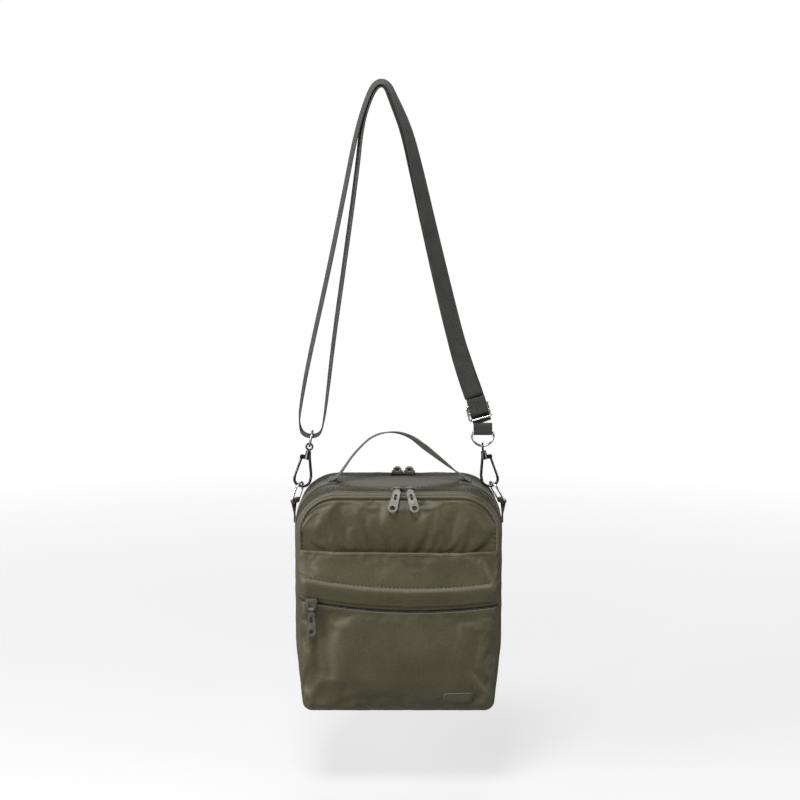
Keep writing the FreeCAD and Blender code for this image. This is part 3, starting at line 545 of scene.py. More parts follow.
def eased(t):
    """0 to 1 with a gentle start and end."""
    t = min(1.0, max(0.0, t))
    return t * t * (3 - 2 * t)


def spread(t):
    """-1 to 1, with points closer together near both ends."""
    return math.copysign(1 - (1 - abs(t)) ** 1.5, t)


def sheet_piece(name, columns, rows, place, material):
    """A sheet facing the front: place(u, v) with u from -1 to 1 and v from 0 at its top to 1."""
    points = []
    for i in range(rows):
        for j in range(columns):
            points.append(place(2 * j / (columns - 1) - 1, i / (rows - 1)))
    faces = [face[::-1] for face in grid_faces(rows, columns)]
    return mesh_piece(name, points, faces, material)


def sewn_edge(columns, rows):
    """Numbers of a grid's border points."""
    border = []
    for i in range(rows):
        for j in range(columns):
            if i in (0, rows - 1) or j in (0, columns - 1):
                border.append(i * columns + j)
    return border


def inflate(piece, pinned, pressure, growth, low, high, bending=0.4):
    """Cloth that swells between its pinned points; each point moves between low and high outwards."""
    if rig.quick():
        return
    group = piece.vertex_groups.new(name="sewn")
    group.add(pinned, 1.0, "REPLACE")
    cloth = piece.modifiers.new("cloth", "CLOTH")
    settings = cloth.settings
    settings.quality = 6
    settings.mass = 0.15
    settings.vertex_group_mass = "sewn"
    settings.tension_stiffness = 20
    settings.compression_stiffness = 20
    settings.shear_stiffness = 8
    settings.bending_stiffness = bending
    settings.shrink_min = -growth
    settings.use_pressure = True
    settings.uniform_pressure_force = pressure
    settings.effector_weights.gravity = 0.0
    cloth.point_cache.frame_start = 1
    cloth.point_cache.frame_end = CLOTH_FRAMES
    for step in range(1, CLOTH_FRAMES + 1):
        scene.frame_set(step)
    graph = bpy.context.evaluated_depsgraph_get()
    blown = piece.evaluated_get(graph).to_mesh()
    places = [v.co.copy() for v in blown.vertices]
    piece.modifiers.remove(cloth)
    scene.frame_set(1)
    for vertex, place in zip(piece.data.vertices, places):
        moved = place - vertex.co
        outward = vertex.normal
        along = min(high, max(low, moved.dot(outward)))
        sideways = moved - outward * moved.dot(outward)
        if sideways.length > SLIDE_LIMIT:
            sideways = sideways.normalized() * SLIDE_LIMIT
        vertex.co += outward * along + sideways
    piece.data.update()


def surface_of(piece):
    """The final surface of a piece, to lay other things on."""
    graph = bpy.context.evaluated_depsgraph_get()
    return BVHTree.FromObject(piece, graph)


def laid_on(surface, x, z):
    """Where a line from the front through (x, z) first meets the surface, and its direction there."""
    in_front = -0.3
    place, normal, _, _ = surface.ray_cast(Vector((x, in_front, z)), Vector((0, 1, 0)))
    if place is None:
        place, normal, _, _ = surface.find_nearest(Vector((x, -COVER_FACE, z)))
    return place, normal if normal.y < 0 else -normal


# ================= ribbons, stitches, teeth =================

def route_line(name, route):
    """Points along a smooth NURBS line whose control points are the route's points."""
    curve = bpy.data.curves.new(name, "CURVE")
    curve.dimensions = "3D"
    spline = curve.splines.new("NURBS")
    spline.points.add(len(route) - 1)
    for point, (x, y, z, _) in zip(spline.points, route):
        point.co = (x, y, z, 1.0)
    spline.order_u = 3
    spline.use_endpoint_u = True
    spline.resolution_u = ROUTE_RESOLUTION
    holder = bpy.data.objects.new(name, curve)
    scene.collection.objects.link(holder)
    mesh = bpy.data.meshes.new_from_object(holder)
    line = [v.co.copy() for v in mesh.vertices]
    bpy.data.objects.remove(holder)
    bpy.data.curves.remove(curve)
    bpy.data.meshes.remove(mesh)
    return line


def directions(line):
    """The direction of a line of points at each of them."""
    found = []
    for i in range(len(line)):
        ahead = line[min(i + 1, len(line) - 1)]
        behind = line[max(i - 1, 0)]
        found.append((ahead - behind).normalized())
    return found


def turned_faces(line, route, side):
    """At each point, the direction across the webbing; its face turns as the route's angles say."""
    faces = [point[3] for point in route]
    wides = []
    for i, along in enumerate(directions(line)):
        at = i / (len(line) - 1) * (len(faces) - 1)
        k = min(int(at), len(faces) - 2)
        face = math.radians(faces[k] + (faces[k + 1] - faces[k]) * (at - k))
        across = along.cross(Vector((0, 1, 0))).normalized() * side
        level = across.cross(along).normalized()
        if level.y < 0:
            level = -level
        wides.append(level * math.cos(face) + across * math.sin(face))
    return wides


def webbing_section(width, thick, ribs):
    """(across, out) points round a webbing's section, with lengthwise ribs on both faces."""
    edge = thick / 2
    flat = width - thick
    steps = 2 * ribs
    face = [(-flat / 2 + flat * k / steps, edge - RIB_RELIEF * (k % 2)) for k in range(steps + 1)]
    bend = flat / 2 + edge * 0.75
    turn = [(bend, edge * 0.6), (flat / 2 + edge, 0.0), (bend, -edge * 0.6)]
    back = [(-x, -y) for x, y in face]
    return face + turn + back + [(-x, -y) for x, y in turn]


def webbing(name, line, wides, width, thick, material, ribs=RIBS):
    """Flat webbing along a line of points, with its ends closed."""
    section = webbing_section(width, thick, ribs)
    points = []
    uvs = []
    length = 0.0
    for i, (place, along, wide) in enumerate(zip(line, directions(line), wides)):
        length += (place - line[max(i - 1, 0)]).length
        wide = (wide - along * wide.dot(along)).normalized()
        out = along.cross(wide)
        for a, b in section:
            points.append(place + wide * a + out * b)
            uvs.append((a + width, length))
    count = len(section)
    faces = grid_faces(len(line), count, False, True)
    faces.append(tuple(range(count))[::-1])
    faces.append(tuple(range(len(points) - count, len(points))))
    return mesh_piece(name, points, [f[::-1] for f in faces], material, uvs)


def stitches(name, seams, body, pitch=0.0034, length=0.0024, width=0.00062):
    """Threads along seams. Each seam is a list of (place, outward direction)."""
    points = []
    faces = []
    for seam in seams:
        for place, along, outward in evenly(seam, pitch):
            across = along.cross(outward).normalized()
            base = len(points)
            for share, size in ((-0.5, 0.35), (-0.3, 1.0), (0.3, 1.0), (0.5, 0.35)):
                middle = place + along * (length * share) + outward * (width * 0.3 * size)
                for a, b in ((1, 0), (0, 1), (-1, 0), (0, -1)):
                    points.append(middle + (across * a + outward * b) * (width / 2 * size))
            for ring in range(3):
                for k in range(4):
                    a = base + ring * 4 + k
                    b = base + ring * 4 + (k + 1) % 4
                    faces.append((a, b, b + 4, a + 4))
            faces.append((base + 3, base + 2, base + 1, base))
            faces.append((base + 12, base + 13, base + 14, base + 15))
    piece = mesh_piece(name, points, faces, THREAD)
    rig.ride(piece, body)
    return piece


def evenly(seam, pitch):
    """(place, direction along, outward) at every `pitch` along a seam."""
    found = []
    walked = 0.0
    wanted = pitch / 2
    for (a, out_a), (b, out_b) in zip(seam, seam[1:]):
        gap = (b - a).length
        while gap > 1e-9 and walked + gap >= wanted:
            share = (wanted - walked) / gap
            found.append((a.lerp(b, share), (b - a).normalized(), out_a.lerp(out_b, share).normalized()))
            wanted += pitch
        walked += gap
    return found


def teeth(name, seam, body, start, end):
    """A row of zipper coils along a seam, each from `start` to `end` across it."""
    points = []
    faces = []
    for place, along, outward in evenly(seam, COIL_PITCH):
        across = along.cross(outward).normalized()
        base = len(points)
        for a, high in ((start, 0.0004), (start * 0.6 + end * 0.4, 0.0010), (end, 0.0003)):
            for w in (-COIL_HALF, COIL_HALF):
                for h in (0.0, high):
                    points.append(place + across * a + along * w + outward * h)
        for k in (0, 4):
            for a, b in ((0, 1), (1, 3), (3, 2), (2, 0)):
                faces.append((base + k + a, base + k + b, base + k + b + 4, base + k + a + 4))
        faces.append((base, base + 2, base + 3, base + 1))
        faces.append((base + 8, base + 9, base + 11, base + 10))
    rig.ride(mesh_piece(name, points, faces, COIL), body)


def outline_seam(inset, y, start=0, count=OUTLINE_COUNT, outward=None):
    """A seam round the outline, facing away from the bag's middle unless told otherwise."""
    seam = []
    for i in range(start, start + count + 1):
        normal = OUTLINE[i % OUTLINE_COUNT][1]
        facing = outward or Vector((normal.x, 0, normal.y))
        seam.append((on_outline(i, inset, y), facing))
    return seam


# ================= materials =================

WAVE = math.pi / 10         # a Wave texture's scale times the distance between its bands
WEB_THREAD = 0.0013         # between the webbing's crosswise threads


def new_material(name, values):
    """A material, its node tree and its shader with the (input, value) pairs set on it."""
    material = bpy.data.materials.new(name)
    material.use_nodes = True
    shader = material.node_tree.nodes["Principled BSDF"]
    for key, value in values:
        shader.inputs[key].default_value = value
    return material, material.node_tree, shader


def add_node(tree, kind, values=(), **settings):
    """A node with its settings and the values of its inputs."""
    node = tree.nodes.new(kind)
    for key, value in settings.items():
        setattr(node, key, value)
    for key, value in values:
        node.inputs[key].default_value = value
    return node


def colour_ramp(tree, factor, stops):
    """A ramp through (position, colour) stops."""
    ramp = tree.nodes.new("ShaderNodeValToRGB")
    elements = ramp.color_ramp.elements
    while len(elements) < len(stops):
        elements.new(0.5)
    for element, (position, colour) in zip(elements, stops):
        element.position = position
        element.color = (*colour, 1.0)
    tree.links.new(factor, ramp.inputs["Fac"])
    return ramp.outputs["Color"]


def mapped(tree, source="Object", scale=(1.0, 1.0, 1.0), turn=(0, 0, 0)):
    """Texture coordinates from `source` ('Object' or 'UV'), turned and scaled."""
    coordinates = tree.nodes.new("ShaderNodeTexCoord")
    mapping = add_node(tree, "ShaderNodeMapping")
    mapping.inputs["Scale"].default_value = scale
    mapping.inputs["Rotation"].default_value = turn
    tree.links.new(coordinates.outputs[source], mapping.inputs["Vector"])
    return mapping.outputs["Vector"]


def waves(tree, vector, scale, distortion=0.0, direction="X"):
    """Straight bands across `direction`."""
    wave = add_node(
        tree, "ShaderNodeTexWave", [("Scale", scale), ("Distortion", distortion)],
        wave_type="BANDS", bands_direction=direction,
    )
    tree.links.new(vector, wave.inputs["Vector"])
    return wave.outputs["Fac"]


def cloudy(tree, vector, scale, detail=3.0):
    """Soft noise."""
    cloud = add_node(tree, "ShaderNodeTexNoise", [("Scale", scale), ("Detail", detail)])
    tree.links.new(vector, cloud.inputs["Vector"])
    return cloud.outputs["Fac"]


def combined(tree, operation, a, b):
    """a and b joined by a Math node; b may be a number."""
    node = add_node(tree, "ShaderNodeMath", operation=operation)
    tree.links.new(a, node.inputs[0])
    if isinstance(b, float):
        node.inputs[1].default_value = b
    else:
        tree.links.new(b, node.inputs[1])
    return node.outputs["Value"]


def weighted(tree, *parts):
    """The sum of (output, weight) pairs."""
    total = None
    for output, weight in parts:
        share = combined(tree, "MULTIPLY", output, weight)
        total = share if total is None else combined(tree, "ADD", total, share)
    return total


def bumped(tree, shader, height, distance, strength=0.6):
    """Relief in the shader's surface."""
    bump = add_node(tree, "ShaderNodeBump", [("Strength", strength), ("Distance", distance)])
    tree.links.new(height, bump.inputs["Height"])
    tree.links.new(bump.outputs["Normal"], shader.inputs["Normal"])


def fabric(name, dark, light, roughness=0.49, sheen=0.10, period=0.0009):
    """Closely woven twill: fine diagonal ribs crossed by threads, with uneven dye and worn places."""
    values = [
        ("Sheen Weight", sheen), ("Sheen Roughness", 0.45), ("Sheen Tint", (0.9, 0.85, 0.65, 1.0)),
        ("Specular IOR Level", 0.55),
    ]
    material, tree, shader = new_material(name, values)
    diagonal = mapped(tree, turn=(0.0, math.radians(38), math.radians(20)))
    straight = mapped(tree)
    twill = waves(tree, diagonal, WAVE / period, 0.6)
    thread = waves(tree, straight, WAVE / period * 1.7, 0.3, "Z")
    height = weighted(tree, (thread, 0.35), (twill, 1.0))
    soft = cloudy(tree, straight, 22.0, 4.0)
    fine = cloudy(tree, straight, 420.0, 2.0)
    mixed = weighted(tree, (soft, 0.45), (fine, 0.40), (twill, 0.15))
    colour = colour_ramp(tree, mixed, [(0.25, dark), (0.75, light)])
    tree.links.new(colour, shader.inputs["Base Color"])
    uneven = 0.06
    gloss = colour_ramp(tree, soft, [(0.3, (roughness - uneven,) * 3), (0.7, (roughness + uneven,) * 3)])
    tree.links.new(gloss, shader.inputs["Roughness"])
    bumped(tree, shader, height, 0.00012)
    return material


def woven_webbing(name, dark, light):
    """Webbing: ribs along it and crosswise threads, laid out along the ribbon itself."""
    material, tree, shader = new_material(name, [("Roughness", 0.72), ("Sheen Weight", 0.15)])
    flat = mapped(tree, "UV")
    across = waves(tree, flat, WAVE * RIBS / WEB_W, 0.0, "X")
    along = waves(tree, flat, WAVE / WEB_THREAD, 0.4, "Y")
    height = weighted(tree, (across, 1.0), (along, 0.7))
    soft = cloudy(tree, mapped(tree), 60.0, 4.0)
    mixed = weighted(tree, (soft, 0.65), (height, 0.2))
    colour = colour_ramp(tree, mixed, [(0.3, dark), (0.85, light)])
    tree.links.new(colour, shader.inputs["Base Color"])
    bumped(tree, shader, height, 0.0004, 0.7)
    return material


def metal(name, dark, light, rough_low, rough_high, metallic=1.0):
    """Cast metal with fine wear and small scratches."""
    material, tree, shader = new_material(name, [("Metallic", metallic)])
    cloud = cloudy(tree, mapped(tree), 90.0, 4.0)
    drawn_out = mapped(tree, scale=(30.0, 30.0, 900.0), turn=(0.4, 0.2, 0.0))
    scratched = cloudy(tree, drawn_out, 1.0, 5.0)
    mixed = weighted(tree, (cloud, 0.7), (scratched, 0.3))
    tree.links.new(colour_ramp(tree, mixed, [(0.35, dark), (0.65, light)]), shader.inputs["Base Color"])
    gloss = colour_ramp(tree, mixed, [(0.35, (rough_high,) * 3), (0.65, (rough_low,) * 3)])
    tree.links.new(gloss, shader.inputs["Roughness"])
    bumped(tree, shader, mixed, 0.0001, 0.3)
    return material


def plain_floor():
    """Pale matt paper that thins out far from the bag."""
    material, tree, shader = new_material("pale_floor", [("Roughness", 0.9)])
    place = mapped(tree)
    cloud = cloudy(tree, place, 3.0)
    colour = colour_ramp(tree, cloud, [(0.3, (0.74,) * 3), (0.7, (0.78,) * 3)])
    tree.links.new(colour, shader.inputs["Base Color"])
    distance = add_node(tree, "ShaderNodeVectorMath", operation="LENGTH")
    tree.links.new(place, distance.inputs[0])
    share = combined(tree, "DIVIDE", distance.outputs["Value"], FLOOR_HALF)
    stops = [(FADE_START / FLOOR_HALF, (1, 1, 1)), (FADE_END / FLOOR_HALF, (0, 0, 0))]
    opacity = combined(tree, "MULTIPLY", colour_ramp(tree, share, stops), FLOOR_SHARE)
    tree.links.new(opacity, shader.inputs["Alpha"])
    return material


SHELL = fabric("olive_twill", (0.035, 0.030, 0.011), (0.080, 0.070, 0.034))
# Painted shade: the shell's twill again, made darker so the gusset's top and sides read darker than the front; the
# real fabric is the same.
PAINTED_SHADE_TWILL = fabric("olive_twill_painted_shade", (0.026, 0.023, 0.010), (0.056, 0.050, 0.027))
PIPING = fabric("olive_piping", (0.050, 0.045, 0.024), (0.100, 0.090, 0.055))
LINING = fabric("dark_lining", (0.030, 0.030, 0.026), (0.065, 0.063, 0.055), 0.75, 0.05)
TAPE = fabric("zipper_tape", (0.018, 0.017, 0.010), (0.042, 0.038, 0.024), 0.7, 0.05, 0.0006)
STRAP = woven_webbing("strap_webbing", (0.011, 0.011, 0.009), (0.044, 0.043, 0.037))
HANDLE = woven_webbing("handle_webbing", (0.045, 0.046, 0.036), (0.120, 0.120, 0.102))
THREAD = fabric("sewing_thread", (0.014, 0.012, 0.007), (0.034, 0.030, 0.019), 0.6, 0.05)
COIL = metal("zipper_coil", (0.020, 0.019, 0.014), (0.052, 0.048, 0.036), 0.36, 0.55, 0.0)
STEEL = metal("bright_steel", (0.55, 0.55, 0.54), (0.80, 0.80, 0.79), 0.18, 0.34)
GUNMETAL = metal("gunmetal", (0.035, 0.033, 0.032), (0.13, 0.125, 0.12), 0.22, 0.40)
PAINTED = metal("painted_zip_metal", (0.070, 0.068, 0.052), (0.140, 0.137, 0.110), 0.42, 0.56, 0.3)


# ================= strap =================

def make_strap():
    """Both strands of the shoulder strap and the two sewn ends."""
    outer_line = route_line("outer_line", OUTER_ROUTE)
    inner_line = route_line("inner_line", INNER_ROUTE)
    outer = webbing("strap_outer", outer_line, turned_faces(outer_line, OUTER_ROUTE, -1), WEB_W, WEB_T, STRAP)
    inner = webbing("strap_inner", inner_line, turned_faces(inner_line, INNER_ROUTE, 1), WEB_W, WEB_T, STRAP)
    glide_loop = make_glide_loop()
    ring_loop = make_ring_loop()
    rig.blend(outer, "strap", "adjuster", start=(0.034, 0, -0.3), end=(0.0895, 0, -0.3))
    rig.ride(inner, "strap")
    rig.replaces(outer, "strap_strand_outer")
    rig.replaces(inner, "strap_strand_inner")
    for piece in (outer, inner, glide_loop, ring_loop):
        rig.slot(piece, "strap_webbing")
    for strand, line, loop in ((outer, outer_line, glide_loop), (inner, inner_line, ring_loop)):
        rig.cord(
            strand, exit=line[0], length=run_length(line), diameter=WEB_W, far_end="object",
            stiffness="limp", lay="hanging", path=line, with_pieces=[loop],
        )


def run_length(line):
    """Length of a line of points."""
    return round(sum((b - a).length for a, b in zip(line, line[1:])), 3)


def loop_line(bar, down, out, radius, length):
    """Up one side of a bar, round below it and up the other side."""
    line = [bar + out * radius - down * (length * (1 - k / 4)) for k in range(4)]
    steps = 10
    for k in range(steps + 1):
        turn = math.pi * k / steps
        line.append(bar + out * (radius * math.cos(turn)) + down * (radius * math.sin(turn)))
    line += [bar - out * radius - down * (length * (k + 1) / 4) for k in range(4)]
    return line


def sewn_loop(name, bar, across, down, bar_r, length, body, node):
    """Webbing folded round a bar, with a seam across both layers."""
    clearance = 0.00035
    seam_half = 0.0082
    out = across.cross(down).normalized()
    radius = bar_r + clearance + WEB_T / 2
    line = loop_line(bar, down, out, radius, length)
    piece = webbing(name, line, [across] * len(line), WEB_W, WEB_T, STRAP)
    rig.ride(piece, body)
    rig.replaces(piece, node)
    seams = []
    face = radius + WEB_T / 2
    for rise in (length - 0.0022, length - 0.0042):
        for side in (-1, 1):
            start = bar - down * rise + out * (side * face)
            ends = [start - across * seam_half, start + across * seam_half]
            seams.append([(end, out * side) for end in ends])
    thread = stitches(name + "_thread", seams, body, 0.0024, 0.0017, 0.0004)
    thread.parent = piece
    thread.matrix_parent_inverse = piece.matrix_world.inverted()
    return piece


def make_glide_loop():
    """The webbing's end sewn round the adjuster's middle bar."""
    down = Vector((math.sin(GLIDE_TILT), 0, -math.cos(GLIDE_TILT)))
    flat = Vector((math.cos(GLIDE_TILT), 0, math.sin(GLIDE_TILT)))
    across = flat * math.cos(GLIDE_TURN) + Vector((0, 1, 0)) * math.sin(GLIDE_TURN)
    return sewn_loop(
        "slider_loop", GLIDE, across, down, bar_r=0.0012, length=0.015,
        body="adjuster", node="slider_end_loop",
    )


def make_ring_loop():
    """The webbing's end sewn round the right strap ring."""
    return sewn_loop(
        "ring_loop", RIGHT_RING, Vector((1, 0, 0)), Vector((0, 0, -1)), bar_r=0.00115, length=0.0095,
        body="strap", node="right_end_loop",
    )


# ================= bag shell =================

def make_gusset():
    """The centre band, slightly crowned, with its lining side and its edge stitching; its twill is a darker copy of
    the shell's, painted shade on its top and sides.
    """
    wall = 0.0025
    crown = 0.0006
    outer = []
    steps = 14
    for k in range(steps + 1):
        t = 2 * k / steps - 1
        outer.append((GUSSET_HALF * t * 0.992, 0.0002 - crown * (1 - t * t)))
    edge = [(GUSSET_HALF, 0.0009), (GUSSET_HALF, wall - 0.0004)]
    inner = [(GUSSET_HALF * 0.97 * (1 - 2 * k / 6), wall) for k in range(7)]
    section = outer + edge + inner + [(-y, inset) for y, inset in edge[::-1]]
    # The band takes the darker copy of the shell's twill: painted shade on the gusset's top and sides.
    gusset = band("gusset", section, PAINTED_SHADE_TWILL, ripple=0.0007, grain=0.018)
    placed(gusset, "bag", "shell_fabric", "centre_gusset")
    seams = [outline_seam(-0.0003, side * (GUSSET_HALF - 0.0022)) for side in (-1, 1)]
    stitches("gusset_thread", seams, "bag")


def make_zipper(name, side):
    """One main zipper: its two tapes and both rows of coil."""
    lid_body = name + "_lid"
    inset = 0.0009
    thick = 0.0011
    for part, body, near, far in (
        ("body_tape", "bag", GUSSET_HALF, TAPE_END), ("lid_tape", lid_body, LID_TAPE, WALL_START),
    ):
        section = [(side * near, inset), (side * (near + far) / 2, inset), (side * far, inset)]
        section += [(y, deep + thick) for y, deep in section[::-1]]
        placed(band(f"{name}_{part}", section, TAPE), body, "zipper_tape", f"{name}_zipper_{part}")
    middle = (TAPE_END + LID_TAPE) / 2
    start, count = zipped_run()
    seam = outline_seam(inset, side * middle, start, count)
    teeth(name + "_coil_body", seam, "bag", side * COIL_NEAR, side * COIL_FAR)
    teeth(name + "_coil_lid", seam, lid_body, -side * COIL_FAR, -side * COIL_NEAR)
    for y, body, label in ((GUSSET_HALF + 0.0028, "bag", "body"), (WALL_START - 0.0008, lid_body, "lid")):
        stitches(f"{name}_tape_thread_{label}", [outline_seam(inset, side * y, start, count)], body)


def zipped_run():
    """The first outline point that is zipped, and the number of steps to the last, over the top."""
    zipper_low = BOTTOM + 0.030
    below = [i for i in range(OUTLINE_COUNT) if OUTLINE[i][0].y <= zipper_low]
    return below[-1] + 1, OUTLINE_COUNT - len(below) - 1


def make_lid_rim(name, side):
    """A lid's narrow wall and the corded piping where it meets the panel."""
    body = name + "_lid"
    y0, y1 = side * WALL_START, side * WALL_END
    wall = [
        (y0, 0.0004), (y0 + side * 0.0008, -0.0001), (y0 + side * 0.0022, 0.0006), (y1, 0.0030),
        (y1, 0.0050), (y0 + side * 0.0020, 0.0026), (y0, 0.0022),
    ]
    rim = band(name + "_rim", wall, SHELL, ripple=0.0004, grain=0.015)
    placed(rim, body, "shell_fabric", name + "_lid_wall")
    points = []
    steps = 12
    middle = side * (WALL_END + 0.0014)
    middle_inset = 0.0050
    across_r = 0.0020
    out_r = 0.0017
    for i in range(OUTLINE_COUNT):
        pucker = noise.noise(on_outline(i, 0, 0) / 0.009)
        for k in range(steps):
            turn = 2 * math.pi * k / steps
            inset = middle_inset - (across_r + 0.00022 * pucker) * math.cos(turn)
            y = middle + side * (out_r + 0.0002 * pucker) * math.sin(turn)
            points.append(on_outline(i, inset, y))
    piping = mesh_piece(name + "_cord_piping", points, grid_faces(OUTLINE_COUNT, steps, True, True), PIPING)
    placed(piping, body, "piping_fabric", name + "_piping")
    seam = outline_seam(PANEL_INSET + 0.0001, side * PIPE_FACE, outward=Vector((0, side, 0)))
    stitches(name + "_piping_thread", [seam], body, 0.0044, 0.0032, 0.0009)


def make_hinge(name, side):
    """The fabric that joins a lid to the gusset along the bottom."""
    half = FOOT_HALF_W - FOOT_R
    tucked = 0.004              # how far its edges reach under the gusset's tape and the lid's wall
    lapped = 0.001
    points = []
    rows = 11
    columns = 40
    for i in range(rows):
        y = side * (GUSSET_HALF + tucked + (WALL_START + lapped - GUSSET_HALF - tucked) * i / (rows - 1))
        for j in range(columns):
            x = BAG_X + half * (2 * j / (columns - 1) - 1)
            z = BOTTOM + 0.0006 + 0.0002 * noise.noise(Vector((x, y, 0.0)) / 0.01)
            points.append((x, y, z))
    faces = grid_faces(rows, columns)
    if side > 0:
        faces = [face[::-1] for face in faces]
    strip = mesh_piece(name + "_hinge", points, faces, SHELL)
    thicken(strip, 0.0010, 0)
    axis_y = side * (TAPE_END + LID_TAPE) / 2
    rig.blend(
        strip, "bag", name + "_lid",
        start=(0, axis_y - side * 0.004, BOTTOM), end=(0, axis_y + side * 0.003, BOTTOM),
    )
    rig.slot(strip, "shell_fabric")


# ================= front of the bag =================

def zip_circle():
    """Centre and radius of the arc through the pocket zipper's ends and middle."""
    a = Vector((BAG_X - HALF_W, ZIP_LEFT))
    b = Vector((BAG_X, ZIP_MIDDLE))
    c = Vector((BAG_X + HALF_W, ZIP_RIGHT))
    d = 2 * (a.x * (b.y - c.y) + b.x * (c.y - a.y) + c.x * (a.y - b.y))
    sa, sb, sc = a.length_squared, b.length_squared, c.length_squared
    x = (sa * (b.y - c.y) + sb * (c.y - a.y) + sc * (a.y - b.y)) / d
    z = (sa * (c.x - b.x) + sb * (a.x - c.x) + sc * (b.x - a.x)) / d
    return x, z, math.hypot(a.x - x, a.y - z)


CURVE_X, CURVE_Z, CURVE_R = zip_circle()


def zip_height(x, above=0.0):
    """Height of the pocket zipper's line at x, or of the line `above` it."""
    return CURVE_Z - math.sqrt((CURVE_R - above) ** 2 - (x - CURVE_X) ** 2)


def pocket_depth(x, z):
    """Depth (-Y) of the pocket's face: full in the middle, rolled back to its seam at the edges."""
    side = half_width(z, POCKET_INSET) - abs(x - BAG_X)
    low = z - (BOTTOM + POCKET_INSET)
    near = min(1.0, max(0.0, min(side, low)) / ROLL)
    roll = math.sqrt(max(0.0, 1 - (1 - near) ** 2))
    below = zip_height(x) - z
    full = eased(side / SWELL_SIDE) * eased(low / SWELL_LOW) - SWELL_MEAN
    swell = SWELL * full * eased((below - SWELL_START) / SWELL_ZIP)
    lean = LEAN * eased((-below - LEAN_START) / LEAN_REACH)
    return -(PIPE_FACE + (COVER_FACE - PIPE_FACE) * roll + (swell - lean) * roll)


def fold(x, z, start, end, width, height):
    """A soft ridge of cloth along a line, which dies out towards both ends."""
    a, b, p = Vector(start), Vector(end), Vector((x, z))
    run = b - a
    t = (p - a).dot(run) / run.length_squared
    if not 0 < t < 1:
        return 0.0
    off = (p - a - run * t).length
    return height * math.exp(-((off / width) ** 2)) * math.sin(math.pi * t) ** 0.7


def place_pad(u, v):
    """The padding above the pocket: full below the piping, drawn in behind the pocket's mouth."""
    x = BAG_X + spread(u) * half_width(TOP - TOP_R, PANEL_INSET)
    top = top_edge(x, PANEL_INSET)
    z = top + (PAD_BOTTOM - top) * v
    side = max(0.0, half_width(z, PANEL_INSET) - abs(x - BAG_X))
    depth = (TOP - PANEL_INSET - z) / (TOP - PANEL_INSET - PAD_BOTTOM)
    arch = math.sin(math.pi * min(1.0, depth) ** 0.75) ** 0.8
    full = arch * math.sqrt(1 - (1 - min(1.0, side / PAD_ROUND)) ** 2)
    return Vector((x, -(PIPE_FACE - 0.0004 + PAD_RISE * full), z))


def make_pad():
    """The padded upper panel, blown up between its seams."""
    columns, rows = 72, 22
    pad = sheet_piece("upper_pad", columns, rows, place_pad, SHELL)
    inflate(pad, sewn_edge(columns, rows), 3.0, 0.045, -0.0018, 0.0022, 0.2)
    thicken(pad, 0.0012)
    placed(pad, "front_lid", "shell_fabric", "front_pad")
    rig.padded(pad, fill=0.7)


def mouth_height(x):
    """The pocket's upper edge, which sags to the right of the middle."""
    t = (x - BAG_X) / HALF_W
    return MOUTH_Z - 0.001 - MOUTH_SAG * (1 - (t - 0.25) ** 2 * 0.64)


def place_on_pocket(upper, lower, lift=0.0, folds=()):
    """A place(u, v) over the pocket, `lift` in front of it, between two heights that depend on x."""
    def place(u, v):
        wide = half_width(ZIP_MIDDLE, POCKET_INSET) * spread(u)
        z = upper(BAG_X + wide) + (lower(BAG_X + wide) - upper(BAG_X + wide)) * v
        x = BAG_X + half_width(z, POCKET_INSET) * spread(u)
        ridge = sum(fold(x, z, *line) for line in folds)
        return Vector((x, pocket_depth(x, z) - lift - ridge, z))
    return place


# Folds in the cloth: both ends (x, z), half width, height.
BAND_FOLDS = [
    ((-0.072, -0.470), (-0.048, -0.497), 0.006, 0.0016),
    ((0.070, -0.462), (0.104, -0.484), 0.007, 0.0012),
    ((0.096, -0.466), (0.107, -0.497), 0.004, 0.0014),
    ((-0.084, -0.462), (-0.068, -0.486), 0.003, 0.0012),
]
PANEL_FOLDS = [
    ((-0.077, -0.530), (-0.074, -0.600), 0.006, 0.0020),
    ((-0.062, -0.524), (-0.056, -0.592), 0.008, -0.0014),
    ((-0.078, -0.616), (-0.060, -0.588), 0.005, 0.0018),
    ((-0.072, -0.624), (-0.030, -0.606), 0.006, 0.0012),
    ((0.106, -0.528), (0.098, -0.606), 0.007, 0.0020),
    ((0.092, -0.540), (0.082, -0.602), 0.009, -0.0012),
    ((0.106, -0.618), (0.084, -0.584), 0.006, 0.0016),
    ((0.020, -0.618), (0.074, -0.606), 0.008, 0.0010),
    ((-0.055, -0.527), (-0.010, -0.545), 0.008, 0.0008),
]


def beside_zip(piece):
    """Points close to the pocket's zipper, which stay where the slider passes over them."""
    close = 0.0065
    return [v.index for v in piece.data.vertices if abs(v.co.z - zip_height(v.co.x)) < close]


def seam_across(piece, margin, height):
    """A seam laid on a piece across the bag, `margin` short of its sides, at height(x)."""
    surface = surface_of(piece)
    steps = 89
    seam = []
    for k in range(steps + 1):
        x = BAG_X + (HALF_W - margin) * (2 * k / steps - 1)
        seam.append(laid_on(surface, x, height(x)))
    return seam


def make_pocket_band():
    """The pocket's fabric between its mouth and the zipper."""
    columns, rows = 66, 20
    place = place_on_pocket(mouth_height, lambda x: zip_height(x, SLIT_HALF), folds=BAND_FOLDS)
    piece = sheet_piece("pocket_band", columns, rows, place, SHELL)
    inflate(piece, sewn_edge(columns, rows) + beside_zip(piece), 1.6, 0.02, -0.0010, 0.0018)
    thicken(piece, 0.0022)
    placed(piece, "front_lid", "shell_fabric", "pocket_upper_band", "slip_pocket_panel")
    hem = seam_across(piece, 0.012, lambda x: mouth_height(x) - 0.0035)
    stitches("pocket_hem_thread", [hem], "front_lid", 0.0032, 0.0023)


